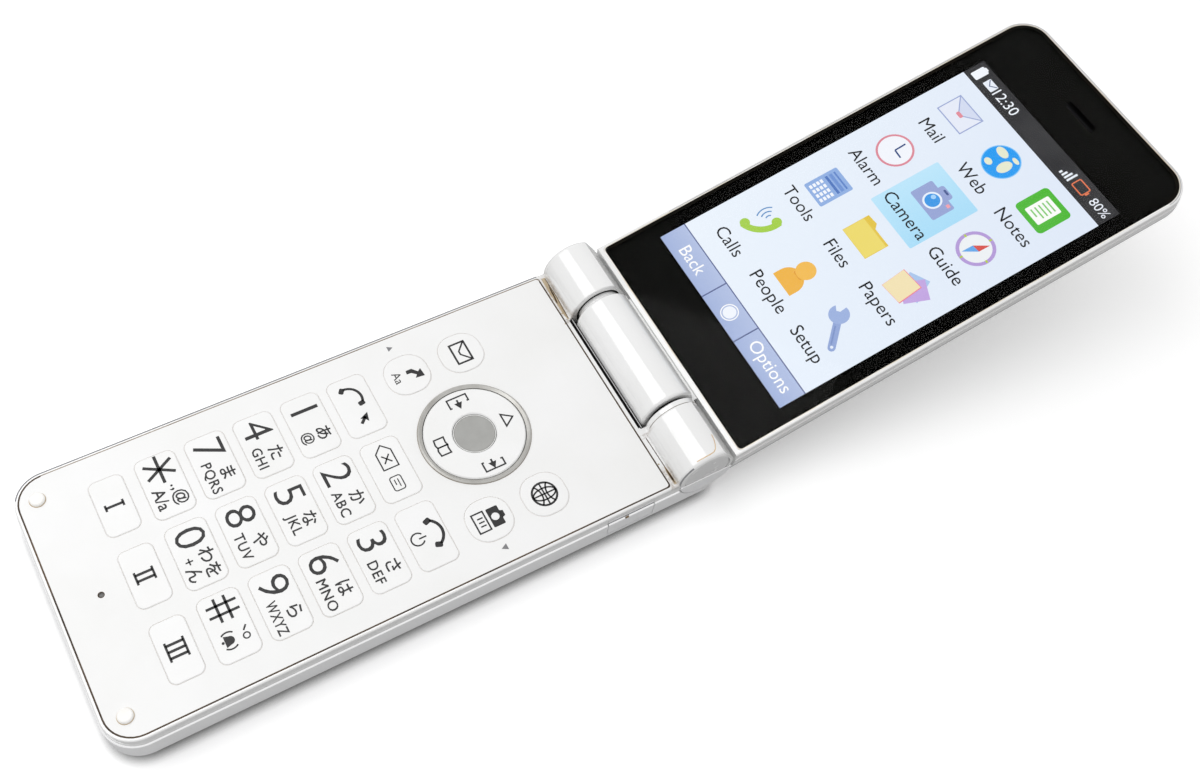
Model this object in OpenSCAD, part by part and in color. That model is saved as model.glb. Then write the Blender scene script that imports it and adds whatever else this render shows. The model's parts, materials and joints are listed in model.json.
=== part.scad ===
// Folding phone, opened as it lies on a table: keypad half flat, display half raised behind it.
// X runs to the right, Y towards the hinge, Z up. The origin is in the flat underside of the
// keypad half, midway between its bottom end and the hinge axis.

/* [Overall] */
// Width of the phone
body_w = 51; // [50:0.5:56]
// Length from the bottom end to the hinge axis, the same for both halves
half_l = 107.4; // [106:0.2:118]
// Thickness of the keypad half, from the underside to the keypad panel
body_t = 8.8; // [8.7:0.1:11]
// Thickness of the display half
lid_t = 7.4; // [7:0.1:9]
// Angle between the two halves
open_angle = 166.7; // [150:0.1:170]
// Gap between keypad panel and display glass when shut
closed_gap = 0.8; // [0.75:0.05:1.2]

/* [Keypad half] */
// Thickness of the side walls
wall = 1.2; // [1:0.1:1.5]
// Thickness of the floor of the lower case
floor_t = 1.6; // [1.4:0.1:2]
// Radius of the two bottom corners, seen from above
corner_r = 6; // [5:0.5:8]
// Radius of the two corners under the hinge, seen from above
back_r = 3; // [1.5:0.5:3.3]
// Radius of the lower edge all round
edge_r = 2.6; // [1.5:0.1:3]
// Height of the upper case above the parting line
upper_h = 2.4; // [2.3:0.1:2.8]
// Step between the lower and the upper case at the parting line
part_step = 0.3; // [0.1:0.05:0.5]
// Radius of the rim's outer edge
rim_edge_r = 0.3; // [0.1:0.05:0.4]
// Width of the rim beside the panel
rim_w = 0.5; // [0.4:0.05:0.8]
// Width of the bar between the panel and the hinge slot
bar_w = 0.95; // [0.7:0.05:1.4]
// Width of the ledge that carries the panel
ledge_w = 1.2; // [0.8:0.1:1.4]
// Reach of the case behind the hinge axis
back_reach = 3.4; // [3:0.1:4]

/* [Panel and keys] */
// Thickness of the keypad panel
panel_t = 1; // [0.8:0.1:1.1]
// Seam around the panel and the display glass
seam = 0.2; // [0.1:0.05:0.3]
// Clearance around each key
key_gap = 0.12; // [0.08:0.01:0.16]
// Height of the keys above the panel
key_proud = 0.15; // [0.05:0.05:0.3]
// Radius of the keys' top edge
key_edge_r = 0.2; // [0.1:0.05:0.3]
// Width of the flange that keeps a key under the panel
flange_w = 0.5; // [0.3:0.05:0.6]
// Thickness of that flange
flange_t = 0.5; // [0.4:0.05:0.55]
// Width of the dial keys
dial_w = 12.1; // [10:0.1:12.6]
// Height of the dial keys along the phone
dial_l = 6.95; // [6:0.05:7.3]
// Corner radius of the dial keys
dial_r = 1.4; // [0.8:0.1:2]
// Distance between key columns
col_pitch = 14; // [13.6:0.1:14.4]
// Distance between dial key rows
row_pitch = 8.7; // [8.4:0.1:8.8]
// Lowest dial row, from the bottom end
first_row = 23.4; // [23:0.1:23.6]
// Width of the memory keys
memo_w = 10.9; // [9:0.1:12]
// Height of the memory keys along the phone
memo_l = 5.75; // [5:0.05:6.2]
// Corner radius of the memory keys
memo_r = 1.3; // [0.8:0.1:2]
// Row of memory keys, from the bottom end
memo_row = 14.8; // [14.6:0.1:15.2]
// Size of the four function keys
func_d = 8; // [7:0.1:8.4]
// Corner radius of the function keys
func_r = 3.4; // [2:0.1:3.5]
// Sideways distance of the function keys from the middle
func_x = 16; // [15.8:0.1:17.5]
// Distance of the function keys from the navigation row
func_dy = 5.35; // [5.2:0.05:6]

/* [Navigation] */
// Navigation row, from the bottom end
nav_row = 74.3; // [74:0.1:76]
// Outer radius of the navigation trim ring
trim_r = 10; // [9.8:0.05:10.4]
// Width of the trim ring
trim_w = 0.8; // [0.6:0.05:1]
// Height of the trim ring above the panel
trim_proud = 0.4; // [0.2:0.05:0.5]
// Clearance around the ring key
ring_gap = 0.15; // [0.12:0.01:0.2]
// Radius of the hole in the ring key
ring_hole_r = 3.9; // [3.6:0.1:4.4]
// Height of the ring key above the panel
ring_proud = 0.25; // [0.1:0.05:0.4]
// Clearance between the centre key and the ring key
center_gap = 0.2; // [0.2:0.05:0.5]

/* [Hinge] */
// Height of the hinge axis above the keypad panel
axis_lift = 0.3; // [0.1:0.05:0.5]
// Radius of the two outer knuckles
knuckle_r = 5.8; // [5.6:0.1:6]
// Rounding of the knuckles' outer ends
knuckle_edge_r = 0.8; // [0.3:0.1:1]
// Depth of the flat on the knuckles' backs
knuckle_flat_cut = 0.8; // [0.3:0.1:0.9]
// Turn of that flat from level
knuckle_flat_turn = 58; // [50:1:65]
// Radius of the middle barrel
barrel_r = 5.5; // [5.3:0.1:5.8]
// Clearance around the middle barrel
barrel_gap = 0.6; // [0.4:0.05:0.8]
// Left end of the middle barrel
barrel_x0 = -12.6; // [-14:0.1:-12]
// Right end of the middle barrel
barrel_x1 = 11.6; // [11:0.1:13]
// Gap between the left knuckle and the barrel
left_gap = 1.3; // [0.6:0.1:1.6]
// Gap between the barrel and the right collar
right_gap = 0.7; // [0.4:0.1:1]
// Length of the collar on the right knuckle
collar_l = 1.4; // [0.8:0.1:2]
// Radius of that collar
collar_r = 5.1; // [4.8:0.1:5.3]
// Radius of the hinge shaft
shaft_r = 1.75; // [1.5:0.05:2]
// Outer radius of the hollow pivot
pivot_r = 3.9; // [3.6:0.1:4.1]
// Running clearance of shaft and pivot
run_gap = 0.05; // [0.03:0.01:0.08]

/* [Display half] */
// Height of the lid frame at its side
frame_h = 1.6; // [1.5:0.1:2]
// Radius of the lid's far corners, seen from above
lid_corner_r = 6; // [5:0.5:8]
// Radius of the lid's back edge all round
lid_edge_r = 4.6; // [3:0.1:5]
// Radius of the arch across the lid's back
crown_r = 450; // [300:10:900]
// Wall of the lid's back cover
lid_wall = 1; // [0.8:0.1:1.2]
// Thickness of the display glass
glass_t = 0.8; // [0.7:0.1:0.8]
// Distance of the glass from the hinge axis
glass_start = 7.2; // [7.1:0.1:8]
// Black border beside the picture
screen_side = 3.335; // [3:0.005:5]
// Black border below the picture
screen_start = 10.6; // [9.5:0.1:12]
// Black border above the picture
screen_end = 13.65; // [13:0.05:16]
// Width of the earpiece slot
ear_w = 8.3; // [6:0.1:10]
// Height of the earpiece slot
ear_l = 1.6; // [1.2:0.1:2]
// Distance of the earpiece slot from the lid's far end
ear_end = 7.1; // [6.8:0.1:8]

/* [Port] */
// Distance of the charging port from the hinge axis
port_back = 15.3; // [15:0.1:17.4]
// Width of the port cover
port_w = 9.2; // [8.8:0.1:9.4]
// Height of the port cover
port_h = 4.7; // [4.4:0.1:4.8]
// Drop of the cover's upper edge below the panel
port_drop = 1.3; // [1.2:0.1:1.5]
// Clearance around the port cover
port_gap = 0.12; // [0.08:0.01:0.2]

/* [Battery] */
// Width of the battery
battery_w = 36.6; // [30:0.1:38]
// Length kept for the electronics between the battery and the hinge axis
electronics_l = 43.8; // [42:0.2:52]
// Thickness of the battery
battery_t = 4.1; // [3.5:0.1:4.15]
// Lower end of the battery, from the bottom end
battery_start = 12.6; // [12:0.1:14]

/* [Hidden] */
$fn = 48;
// Overshoot of a cut beyond the face that it opens
over = 1;
// Clearance between pieces that sit face to face
fit = 0.05;

// Heights in the keypad half
z_axis = body_t + axis_lift;
z_part = body_t - upper_h;
z_panel = body_t - panel_t;
flange_top = z_panel - fit;
flange_z = flange_top - flange_t;
key_travel = 0.3;
mat_gap = 0.1;
mat_t = 0.4;
mat_top = flange_z - key_travel - mat_gap;
mat_z = mat_top - mat_t;
dome_top = mat_z - 0.03;
dome_h = 0.22;
dome_r = 2;
film_t = 0.1;
board_top = dome_top - dome_h - film_t;
board_t = 0.8;
board_z = board_top - board_t;

// Places along the keypad half
y_end = -half_l / 2;
y_axis = half_l / 2;
y_back = y_axis + back_reach;
slot_r = barrel_r + barrel_gap;
upper_w = body_w - 2 * part_step;
panel_inset = part_step + rim_w + seam;
panel_w = body_w - 2 * panel_inset;
panel_y0 = y_end + panel_inset;
panel_y1 = y_axis - slot_r - bar_w - seam;
panel_r = corner_r - panel_inset;
panel_back_r = 0.6;
key_bay_w = panel_w - 2 * ledge_w;
key_bay_y0 = panel_y0 + ledge_w;
key_bay_y1 = panel_y1 - ledge_w;
cavity_y1 = y_axis - slot_r - wall;
nav_y = y_end + nav_row;

// Screws and the pads that hide two of them
screw_r = 0.7;
screw_head_r = 1.2;
screw_head_h = 0.7;
screw_boss_r = 1.9;
boss_gap = 0.3;
pad_r = 1.25;
pad_proud = 0.65;
pad_x = body_w / 2 - 5;
pad_y = y_end + 4.15;
rear_screw_x = body_w / 2 - 4;
rear_screw_y = panel_y1 - 1.6;

// Microphone
mic_r = 2;
mic_hole_r = 0.55;
mic_y = y_end + 7.6;

// Board, key mat and their margins
board_w = body_w - 2 * wall - 0.8;
board_y0 = y_end + 9.6;
board_y1 = rear_screw_y - screw_boss_r - boss_gap;
board_tongue_w = 30;
board_tongue_y0 = mic_y - mic_r - 0.2;
shelf_w = 1.6;
mat_w = key_bay_w - 0.8;
mat_y0 = y_end + memo_row - memo_l / 2 - flange_w - 0.6;
mat_y1 = nav_y + trim_r + 4;

// Ring key, its rocker and the centre key
trim_in_r = trim_r - trim_w;
trim_flange_r = trim_r + 0.75;
trim_flange_t = 0.25;
trim_crest = 0.3;
trim_in_proud = 0.1;
ring_r = trim_in_r - ring_gap;
ring_flange_r = ring_r + 0.7;
ring_flange_z = dome_top + 0.41;
ring_flange_t = 0.25;
ring_under = ring_flange_z + 0.37;
ring_skirt_r = ring_flange_r - 2.2;
rocker_z = dome_top + 0.24;
rocker_t = 0.24;
rocker_in_r = ring_hole_r + 0.7;
rocker_out_r = ring_skirt_r - 0.3;
center_r = ring_hole_r - center_gap;
center_proud = 0.05;
center_flange_r = ring_hole_r + 0.4;
center_flange_z = dome_top + 0.28;
center_flange_t = 0.28;
nav_dome_r = 6.2;

// Hinge stations along X
knuckle_end = body_w / 2 - 0.1;
left_in = barrel_x0 - left_gap;
collar_x0 = barrel_x1 + right_gap;
right_in = collar_x0 + collar_l;
knuckle_inner_r = 0.25;
barrel_edge_r = 0.6;
cap_r = knuckle_r - 1.2;
cap_t = 1;
boss_r = 4.2;
boss_l = left_gap + 1.3;
boss_seat_r = boss_r + 0.35;
cartridge_r = 3.5;
cartridge_flat = 2.9;
cartridge_x1 = barrel_x0 + 12;
shaft_x0 = -knuckle_end + 3.4;
shaft_x1 = cartridge_x1 - 1.4;
shaft_flat = 1.3;
pivot_bore_r = pivot_r - 0.9;
pivot_x0 = barrel_x1 - 6;
pivot_x1 = right_in + 3;
flex_bay_r = pivot_r - 0.4;
relief_r = knuckle_r + 0.4;

// Display half, in its own frame: Y from the hinge axis to the far end, Z out of the glass
glass_z = axis_lift - closed_gap;
frame_z = glass_z - frame_h;
lid_back_z = glass_z - lid_t;
lid_w = upper_w;
lid_back_w = body_w - part_step;
lid_start = 4.2;
lid_start_r = 1.5;
glass_w = lid_w - 2 * (rim_w + seam);
glass_l = half_l - rim_w - seam - glass_start;
glass_r = lid_corner_r - rim_w - seam;
glass_start_r = 0.8;
glass_under = glass_z - glass_t;
lid_ledge_w = 1.4;
screen_w = glass_w - 2 * screen_side;
screen_l = glass_l - screen_start - screen_end;
window_w = glass_w - 2 * lid_ledge_w;
lcd_t = 2;
lcd_margin = 2;
lcd_z = glass_under - fit - lcd_t;
lcd_y0 = glass_start + screen_start - lcd_margin;
lcd_l = screen_l + 2 * lcd_margin;
lid_board_t = 0.8;
lid_board_size = [40, 48];
lid_board_z = lcd_z - fit - lid_board_t;
lid_board_y0 = lcd_y0 - 4;
ear_y = half_l - ear_end;
ear_capsule = [12, 6, 2.2];
grille_t = 0.4;
web_top = glass_z - 0.6;
web_reach = glass_start + 1.8;
web_low = lid_back_z + lid_wall + 0.7;
flex_t = 0.2;
flex_w = 5;
flex_x0 = cartridge_x1 + 0.4;
flex_out_r = 2.6;
flex_in_r = 1.4;
flex_turns = 1.5;
flex_gap = 0.35;
flex_tail = 2.5;
sub_size = [18, 5, 1.5];
sub_r = 1;
sub_drop = 0.25;
sub_y = half_l - 26;
magnet_size = [5, 4, 1.6];

// Port and its cover
port_y = y_axis - port_back;
port_top = body_t - port_drop;
port_z = port_top - port_h;
port_t = 0.9;
port_x = body_w / 2;
port_foot_r = port_t / 2;
port_pin_r = 0.25;
port_pin_l = 0.8;
port_pin_x = port_x - port_foot_r;
port_pin_z = port_z + port_foot_r;
socket_size = [5.4, 7.8, 2.7];
socket_wall = 0.35;
socket_x1 = port_x - port_t - 0.15;

// Things on the floor of the keypad half
battery_l = half_l - battery_start - electronics_l;
cover_t = 0.9;
cover_margin = 3;
cover_w = battery_w + 2 * cover_margin;
cover_l = battery_l + 2 * cover_margin;
cover_y0 = y_end + battery_start - cover_margin;
cover_r = 3;
grip_y = 7;
grip_pitch = 1.6;
grip_w = 12;
grip_taper = 2;
grip_r = 0.35;
grip_depth = 0.25;
bay_gap = 0.3;
camera_size = [8.6, 8.6, board_z - floor_t - 0.1];
camera_x = 5;
camera_y = y_axis - 16;
camera_win_r = 3.2;
camera_win_t = 0.8;
camera_win_drop = 0.25;
speaker_size = [15, 11, 3];
speaker_x = -12;
speaker_y = y_axis - 16;
motor_r = 1.8;
motor_l = 9;
motor_x = -13;
motor_y = y_axis - 27;
card_size = [15, 14, 1.4];
card_x = 10;
card_y = y_axis - 32;
can_size = [16, 7, 1.2];
can_x = -11;
can_y = y_axis - 36;
antenna_size = [30, 3.6, 4.2];

// Keys: names, left to right, by rows from the bottom
dial_rows = [
    ["key_star", "key_0", "key_hash"],
    ["key_7", "key_8", "key_9"],
    ["key_4", "key_5", "key_6"],
    ["key_1", "key_2", "key_3"],
    ["key_call", "key_clear", "key_end"]
];
memo_names = ["key_memory_1", "key_memory_2", "key_memory_3"];
// Function keys: name, side, and above or below the navigation row
func_keys = [
    ["key_mail", -1, 1],
    ["key_web", 1, 1],
    ["key_contacts", -1, -1],
    ["key_camera", 1, -1]
];
function col_x(i) = (i - 1) * col_pitch;
function dial_y(row) = y_end + first_row + row * row_pitch;
memo_y = y_end + memo_row;
func_sites = [for (k = func_keys) [k[1] * func_x, nav_y + k[2] * func_dy]];
key_sites = concat(
    [for (row = [0 : 4], i = [0 : 2]) [col_x(i), dial_y(row)]],
    [for (i = [0 : 2]) [col_x(i), memo_y]],
    func_sites
);
nav_sites = concat(
    [[0, nav_y]],
    [for (a = [0 : 90 : 270]) [nav_dome_r * cos(a), nav_y + nav_dome_r * sin(a)]]
);

// Outline from y0 to y1 about the Y axis, with corner radius r0 at the y0 end and r1 at the y1 end
module outline(w, y0, y1, r0, r1) {
    if (y1 - y0 - r0 - r1 > 0.001)
        translate([-w / 2, y0 + r0]) square([w, y1 - y0 - r0 - r1]);
    for (e = [[y0, r0, 1], [y1, r1, -1]])
        if (e[1] > 0) {
            if (w - 2 * e[1] > 0.001)
                translate([-w / 2 + e[1], e[2] > 0 ? e[0] : e[0] - e[1]]) square([w - 2 * e[1], e[1]]);
            for (s = w - 2 * e[1] > 0.001 ? [-1, 1] : [0])
                translate([s * (w / 2 - e[1]), e[0] + e[2] * e[1]]) circle(e[1]);
        }
}

// Rounded rectangle about the origin
module rounded_rect(w, l, r) outline(w, -l / 2, l / 2, r, r);

// Extrusion of a plan between two heights
module slab(z0, z1) translate([0, 0, z0]) linear_extrude(z1 - z0) children();

// Extrusion of a Y-Z section across the whole phone
module across_x() rotate([90, 0, 90]) linear_extrude(2 * body_w, center = true) children();

// Extrusion of a Y-Z section between two stations along X
module between_x(x0, x1) translate([x0, 0, 0]) rotate([90, 0, 90]) linear_extrude(x1 - x0) children();

// Half section of a round foot: radius r, heights z0 to z1, lower edge rounded
module foot(r, z0, z1, e) {
    translate([0, z0]) square([r - e, z1 - z0]);
    translate([r - e, z0 + e]) square([e, z1 - z0 - e]);
    intersection() {
        translate([r - e, z0 + e]) circle(e);
        translate([r - e, z0]) square([e, e]);
    }
}

// Tray about the Y axis: corner radii r0 and r1 seen from above, lower edge rounded all round
module tray(w, y0, y1, z0, z1, r0, r1, e) {
    front = y0 + r0;
    middle = y1 - r1 - front;
    translate([0, front, 0]) rotate([90, 0, 180]) linear_extrude(middle)
        for (s = [0, 1]) mirror([s, 0]) foot(w / 2, z0, z1, e);
    for (end = [[front, r0, -90], [front + middle, r1, 90]]) {
        translate([0, end[0], 0]) rotate([90, 0, end[2]])
            linear_extrude(w - 2 * end[1], center = true) foot(end[1], z0, z1, e);
        for (s = [-1, 1]) translate([s * (w / 2 - end[1]), end[0], 0]) intersection() {
            rotate_extrude() foot(end[1], z0, z1, e);
            translate([s > 0 ? 0 : -end[1] - over, end[2] > 0 ? 0 : -end[1] - over, z0 - over])
                cube([end[1] + over, end[1] + over, z1 - z0 + 2 * over]);
        }
    }
}

// The same with its rounded edge on top
module tray_down(w, y0, y1, z0, z1, r0, r1, e)
    mirror([0, 0, 1]) tray(w, y0, y1, -z1, -z0, r0, r1, e);

// Round bar on the X axis between two stations, with rounded end edges
module bar(r, x0, x1, e0, e1) translate([x0, 0, 0]) rotate([0, 90, 0]) rotate_extrude() {
    translate([0, e0]) square([r, x1 - x0 - e0 - e1]);
    for (e = [[0, e0, 1], [x1 - x0, e1, -1]])
        if (e[1] > 0) {
            translate([0, e[2] > 0 ? e[0] : e[0] - e[1]]) square([r - e[1], e[1]]);
            intersection() {
                translate([r - e[1], e[0] + e[2] * e[1]]) circle(e[1]);
                translate([r - e[1], 0]) square([e[1], x1 - x0]);
            }
        }
}

// Plain round hole on the X axis between two stations
module bore(r, x0, x1) translate([x0, 0, 0]) rotate([0, 90, 0]) cylinder(r = r, h = x1 - x0);

// Round bar or hole on the X axis with two flats
module flatted(r, flat, x0, x1) intersection() {
    bore(r, x0, x1);
    translate([x0, -r - over, -flat]) cube([x1 - x0, 2 * (r + over), 2 * flat]);
}

module at_axis() translate([0, y_axis, z_axis]) children();

// Places a piece of the display half, opened by open_angle
module on_lid() at_axis() rotate([180 - open_angle, 0, 0]) children();

// Outer form of the lower case
module rear_form() tray(body_w, y_end, y_back, 0, z_part, corner_r, back_r, edge_r);

module rear_cavity() slab(floor_t, z_part + over)
    outline(body_w - 2 * wall, y_end + wall, cavity_y1, corner_r - wall, 0);

// Section of the port cover: a plate with a rounded foot about its pin
module port_section() {
    translate([port_x - port_t, port_pin_z]) square([port_t, port_top - port_pin_z]);
    translate([port_pin_x, port_pin_z]) circle(port_foot_r);
}

// Extrusion of an X-Z section over a width about the port
module at_port(w) translate([0, port_y + w / 2, 0]) rotate([90, 0, 0]) linear_extrude(w) children();

// Recess for the port cover, open below its pin on the outside, where the cover swings down
module port_recess() {
    at_port(port_w + 2 * port_gap) {
        translate([port_x - port_t - fit, port_pin_z])
            square([port_t + over, port_top - port_pin_z + port_gap]);
        translate([port_pin_x, port_z - port_gap]) square([port_t + over, port_h]);
        intersection() {
            translate([port_pin_x, port_pin_z]) circle(port_foot_r + port_gap);
            translate([port_x - port_t - fit, 0]) square([port_t + over, body_t]);
        }
    }
    // Pin holes and the way in to the socket
    at_port(port_w + 2 * port_pin_l + 2 * port_gap)
        translate([port_pin_x, port_pin_z]) circle(port_pin_r + run_gap);
    translate([port_x - wall - over, port_y - socket_size[1] / 2 - fit, board_z - socket_size[2] - fit])
        cube([wall + over, socket_size[1] + 2 * fit, socket_size[2] + 2 * fit]);
}

module screw_sites() {
    for (s = [-1, 1]) translate([s * pad_x, pad_y, 0]) children(0);
    for (s = [-1, 1]) translate([s * rear_screw_x, rear_screw_y, 0]) children(1);
}

// Shelves along both walls that carry the board, left open beside the port
module board_shelves() intersection() {
    slab(floor_t - fit, board_z) difference() {
        outline(body_w - 2 * wall + 2 * fit, board_y0, board_y1, 0, 0);
        outline(body_w - 2 * wall - 2 * shelf_w, board_y0 - over, board_y1 + over, 0, 0);
        translate([0, port_y - port_w / 2 - over]) square([body_w, port_w + 2 * over]);
    }
    rear_form();
}

module rear_case() color("gainsboro") difference() {
    union() {
        difference() {
            rear_form();
            rear_cavity();
        }
        board_shelves();
        intersection() {
            screw_sites() {
                slab(floor_t - fit, z_part) circle(screw_boss_r);
                slab(floor_t - fit, z_part) circle(screw_boss_r);
            }
            rear_form();
        }
    }
    // Hinge: knuckles, collar and the room that the middle barrel and its web turn in
    at_axis() {
        bore(knuckle_r + fit, -body_w, left_in);
        bore(knuckle_r + fit, right_in, body_w);
        bore(collar_r + fit, collar_x0, right_in + fit);
        bore(slot_r, left_in, collar_x0);
        translate([left_in, 0.5, -2 * body_t]) cube([collar_x0 - left_in, body_w, 3 * body_t]);
    }
    // Battery bay and the seat of its cover
    slab(-over, cover_t) translate([0, cover_y0 + cover_l / 2])
        rounded_rect(cover_w + 2 * fit, cover_l + 2 * fit, cover_r);
    slab(0, floor_t + over) translate([0, y_end + battery_start + battery_l / 2])
        square([battery_w + 2 * bay_gap, battery_l + 2 * bay_gap], center = true);
    port_recess();
    screw_sites() {
        slab(floor_t, z_part + over) circle(screw_r + fit);
        union() {
            slab(-over, z_part + over) circle(screw_r + fit);
            slab(-over, screw_head_h + fit) circle(screw_head_r + fit);
        }
    }
    translate([camera_x, camera_y, 0]) slab(-over, floor_t + over) circle(camera_win_r + fit);
    // Sound holes under the loudspeaker
    for (i = [-2 : 2]) translate([speaker_x + i * 2.4, speaker_y, 0])
        slab(-over, floor_t + over) rounded_rect(0.9, 6, 0.45);
}

// Outer form of the upper case
module upper_form() tray_down(upper_w, y_end + part_step, y_back - part_step, z_part, body_t,
    corner_r - part_step, back_r, rim_edge_r);

// Outer knuckle of the hinge with a flat on its back, edges rounded by e0 and e1
module knuckle(x0, x1, e0, e1) difference() {
    bar(knuckle_r, x0, x1, e0, e1);
    rotate([-knuckle_flat_turn, 0, 0]) translate([x0 - over, -knuckle_r, knuckle_r - knuckle_flat_cut])
        cube([x1 - x0 + 2 * over, 2 * knuckle_r, knuckle_r]);
}

module front_case() color("white") difference() {
    union() {
        difference() {
            upper_form();
            slab(z_part - over, body_t + over)
                outline(key_bay_w, key_bay_y0, key_bay_y1, panel_r - ledge_w, 0);
            at_axis() bore(slot_r, left_in, collar_x0);
        }
        screw_sites() {
            slab(z_part, z_panel) circle(screw_boss_r);
            slab(z_part, z_panel) circle(screw_boss_r);
        }
        at_axis() {
            knuckle(-knuckle_end, left_in, knuckle_edge_r, knuckle_inner_r);
            knuckle(right_in, knuckle_end, knuckle_inner_r, knuckle_edge_r);
            bar(collar_r, collar_x0, right_in + fit, 0.2, 0);
        }
    }
    slab(z_panel, body_t + over) outline(panel_w + 2 * seam, panel_y0 - seam, panel_y1 + seam,
        panel_r + seam, panel_back_r);
    port_recess();
    screw_sites() {
        union() {
            slab(z_part - over, z_panel + over) circle(screw_r + fit);
            slab(z_panel - screw_head_h - fit, z_panel + over) circle(screw_head_r + fit);
        }
        slab(z_part - over, z_panel - fit) circle(screw_r + fit);
    }
    at_axis() {
        // Left knuckle: seat for the barrel's boss, grip for the shaft, recess for the end cap
        bore(boss_seat_r, left_in - boss_l, left_in + over);
        flatted(shaft_r + fit, shaft_flat + fit, shaft_x0 - fit, left_in);
        bore(cap_r + fit, -knuckle_end - over, -knuckle_end + cap_t + fit);
        // Right knuckle: hollow for the pivot and the flexible circuit
        bore(pivot_r + fit, collar_x0 - over, pivot_x1);
        bore(pivot_bore_r, pivot_x1 - over, knuckle_end - cap_t);
        bore(cap_r + fit, knuckle_end - cap_t - fit, knuckle_end + over);
    }
}

module battery_cover() color("gainsboro") difference() {
    slab(0, cover_t - fit) translate([0, cover_y0 + cover_l / 2])
        rounded_rect(cover_w - 2 * fit, cover_l - 2 * fit, cover_r);
    // Thumb grip
    for (i = [0 : 3]) translate([0, cover_y0 + grip_y + i * grip_pitch, 0])
        slab(-over, grip_depth) rounded_rect(grip_w - i * grip_taper, 2 * grip_r, grip_r);
}

// Key: a cap with a rounded top edge, kept under the panel by a flange
module key_cap(w, l, r) {
    tray_down(w, -l / 2, l / 2, flange_z, body_t + key_proud, r, r, key_edge_r);
    slab(flange_z, flange_top) rounded_rect(w + 2 * flange_w, l + 2 * flange_w, r + flange_w);
}

module dial_key(i, row) color("white") translate([col_x(i), dial_y(row), 0]) key_cap(dial_w, dial_l, dial_r);
module memory_key(i) color("white") translate([col_x(i), memo_y, 0]) key_cap(memo_w, memo_l, memo_r);
module function_key(i) color("white") translate([func_sites[i][0], func_sites[i][1], 0])
    key_cap(func_d, func_d, func_r);

module keypad_panel() color("white") difference() {
    slab(z_panel, body_t) outline(panel_w, panel_y0, panel_y1, panel_r, panel_back_r);
    slab(z_panel - over, body_t + over) {
        for (row = [0 : 4], i = [0 : 2]) translate([col_x(i), dial_y(row)])
            rounded_rect(dial_w + 2 * key_gap, dial_l + 2 * key_gap, dial_r + key_gap);
        for (i = [0 : 2]) translate([col_x(i), memo_y])
            rounded_rect(memo_w + 2 * key_gap, memo_l + 2 * key_gap, memo_r + key_gap);
        for (p = func_sites) translate(p)
            rounded_rect(func_d + 2 * key_gap, func_d + 2 * key_gap, func_r + key_gap);
        translate([0, nav_y]) circle(trim_r + fit);
        translate([0, mic_y]) circle(mic_hole_r);
        for (s = [-1, 1]) translate([s * pad_x, pad_y]) circle(pad_r + fit);
    }
}

module nav_trim_ring() color("silver") translate([0, nav_y, 0]) rotate_extrude() polygon([
    [trim_in_r, flange_top - trim_flange_t], [trim_flange_r, flange_top - trim_flange_t],
    [trim_flange_r, flange_top], [trim_r, flange_top],
    [trim_r, body_t + trim_proud / 2], [trim_r - trim_crest, body_t + trim_proud],
    [trim_in_r, body_t + trim_in_proud]
]);

module nav_ring_key() color("white") translate([0, nav_y, 0]) rotate_extrude() polygon([
    [ring_hole_r, ring_under], [ring_skirt_r, ring_under], [ring_skirt_r, ring_flange_z],
    [ring_flange_r, ring_flange_z], [ring_flange_r, ring_flange_z + ring_flange_t],
    [ring_r, ring_flange_z + ring_flange_t], [ring_r, body_t + ring_proud - key_edge_r],
    [ring_r - key_edge_r, body_t + ring_proud], [ring_hole_r + key_edge_r, body_t + ring_proud],
    [ring_hole_r, body_t + ring_proud - key_edge_r]
]);

module nav_rocker_plate() color("dimgray") translate([0, nav_y, 0]) slab(rocker_z, rocker_z + rocker_t)
    difference() {
        circle(rocker_out_r);
        circle(rocker_in_r);
    }

module center_key() color("darkgray") translate([0, nav_y, 0]) {
    top = body_t + center_proud;
    rotate_extrude() polygon([
        [0, center_flange_z], [center_flange_r, center_flange_z],
        [center_flange_r, center_flange_z + center_flange_t], [center_r, center_flange_z + center_flange_t],
        [center_r, top - key_edge_r], [center_r - key_edge_r, top], [0, top]
    ]);
}

module bumper_pads() color("lightgray") for (s = [-1, 1]) translate([s * pad_x, pad_y, z_panel + fit])
    rotate([0, -90, 0]) bar(pad_r, 0, panel_t - fit + pad_proud, 0, 0.35);

module key_mat() color("lightgray") difference() {
    slab(mat_z, mat_top) outline(mat_w, mat_y0, mat_y1, 1, 1);
    translate([0, nav_y, 0]) slab(mat_z - over, mat_top + over) circle(trim_flange_r + 0.3);
    // Room for the screw bosses, where a short case brings them near
    screw_sites() {
        slab(mat_z - over, mat_top + over) circle(screw_boss_r + boss_gap);
        slab(mat_z - over, mat_top + over) circle(screw_boss_r + boss_gap);
    }
}

module dome_sheet() color("silver") {
    slab(board_top, board_top + film_t) outline(mat_w, mat_y0, mat_y1, 1, 1);
    cap_r = (dome_r * dome_r + dome_h * dome_h) / (2 * dome_h);
    for (p = concat(key_sites, nav_sites)) translate([p[0], p[1], dome_top - cap_r]) intersection() {
        sphere(cap_r);
        translate([0, 0, cap_r - dome_h]) cylinder(r = dome_r + over, h = dome_h + over);
    }
}

module main_board() color("darkgreen") {
    slab(board_z, board_top) {
        outline(board_w, board_y0, board_y1, 0, 0);
        outline(board_tongue_w, board_tongue_y0, board_y0 + over, 1, 0);
    }
    // Shielding can on the underside
    translate([can_x, can_y, 0]) slab(board_z - can_size[2], board_z + fit)
        square([can_size[0], can_size[1]], center = true);
}

module battery() color("dimgray") slab(cover_t + fit, cover_t + fit + battery_t)
    translate([0, y_end + battery_start + battery_l / 2]) rounded_rect(battery_w, battery_l, 2);

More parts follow.
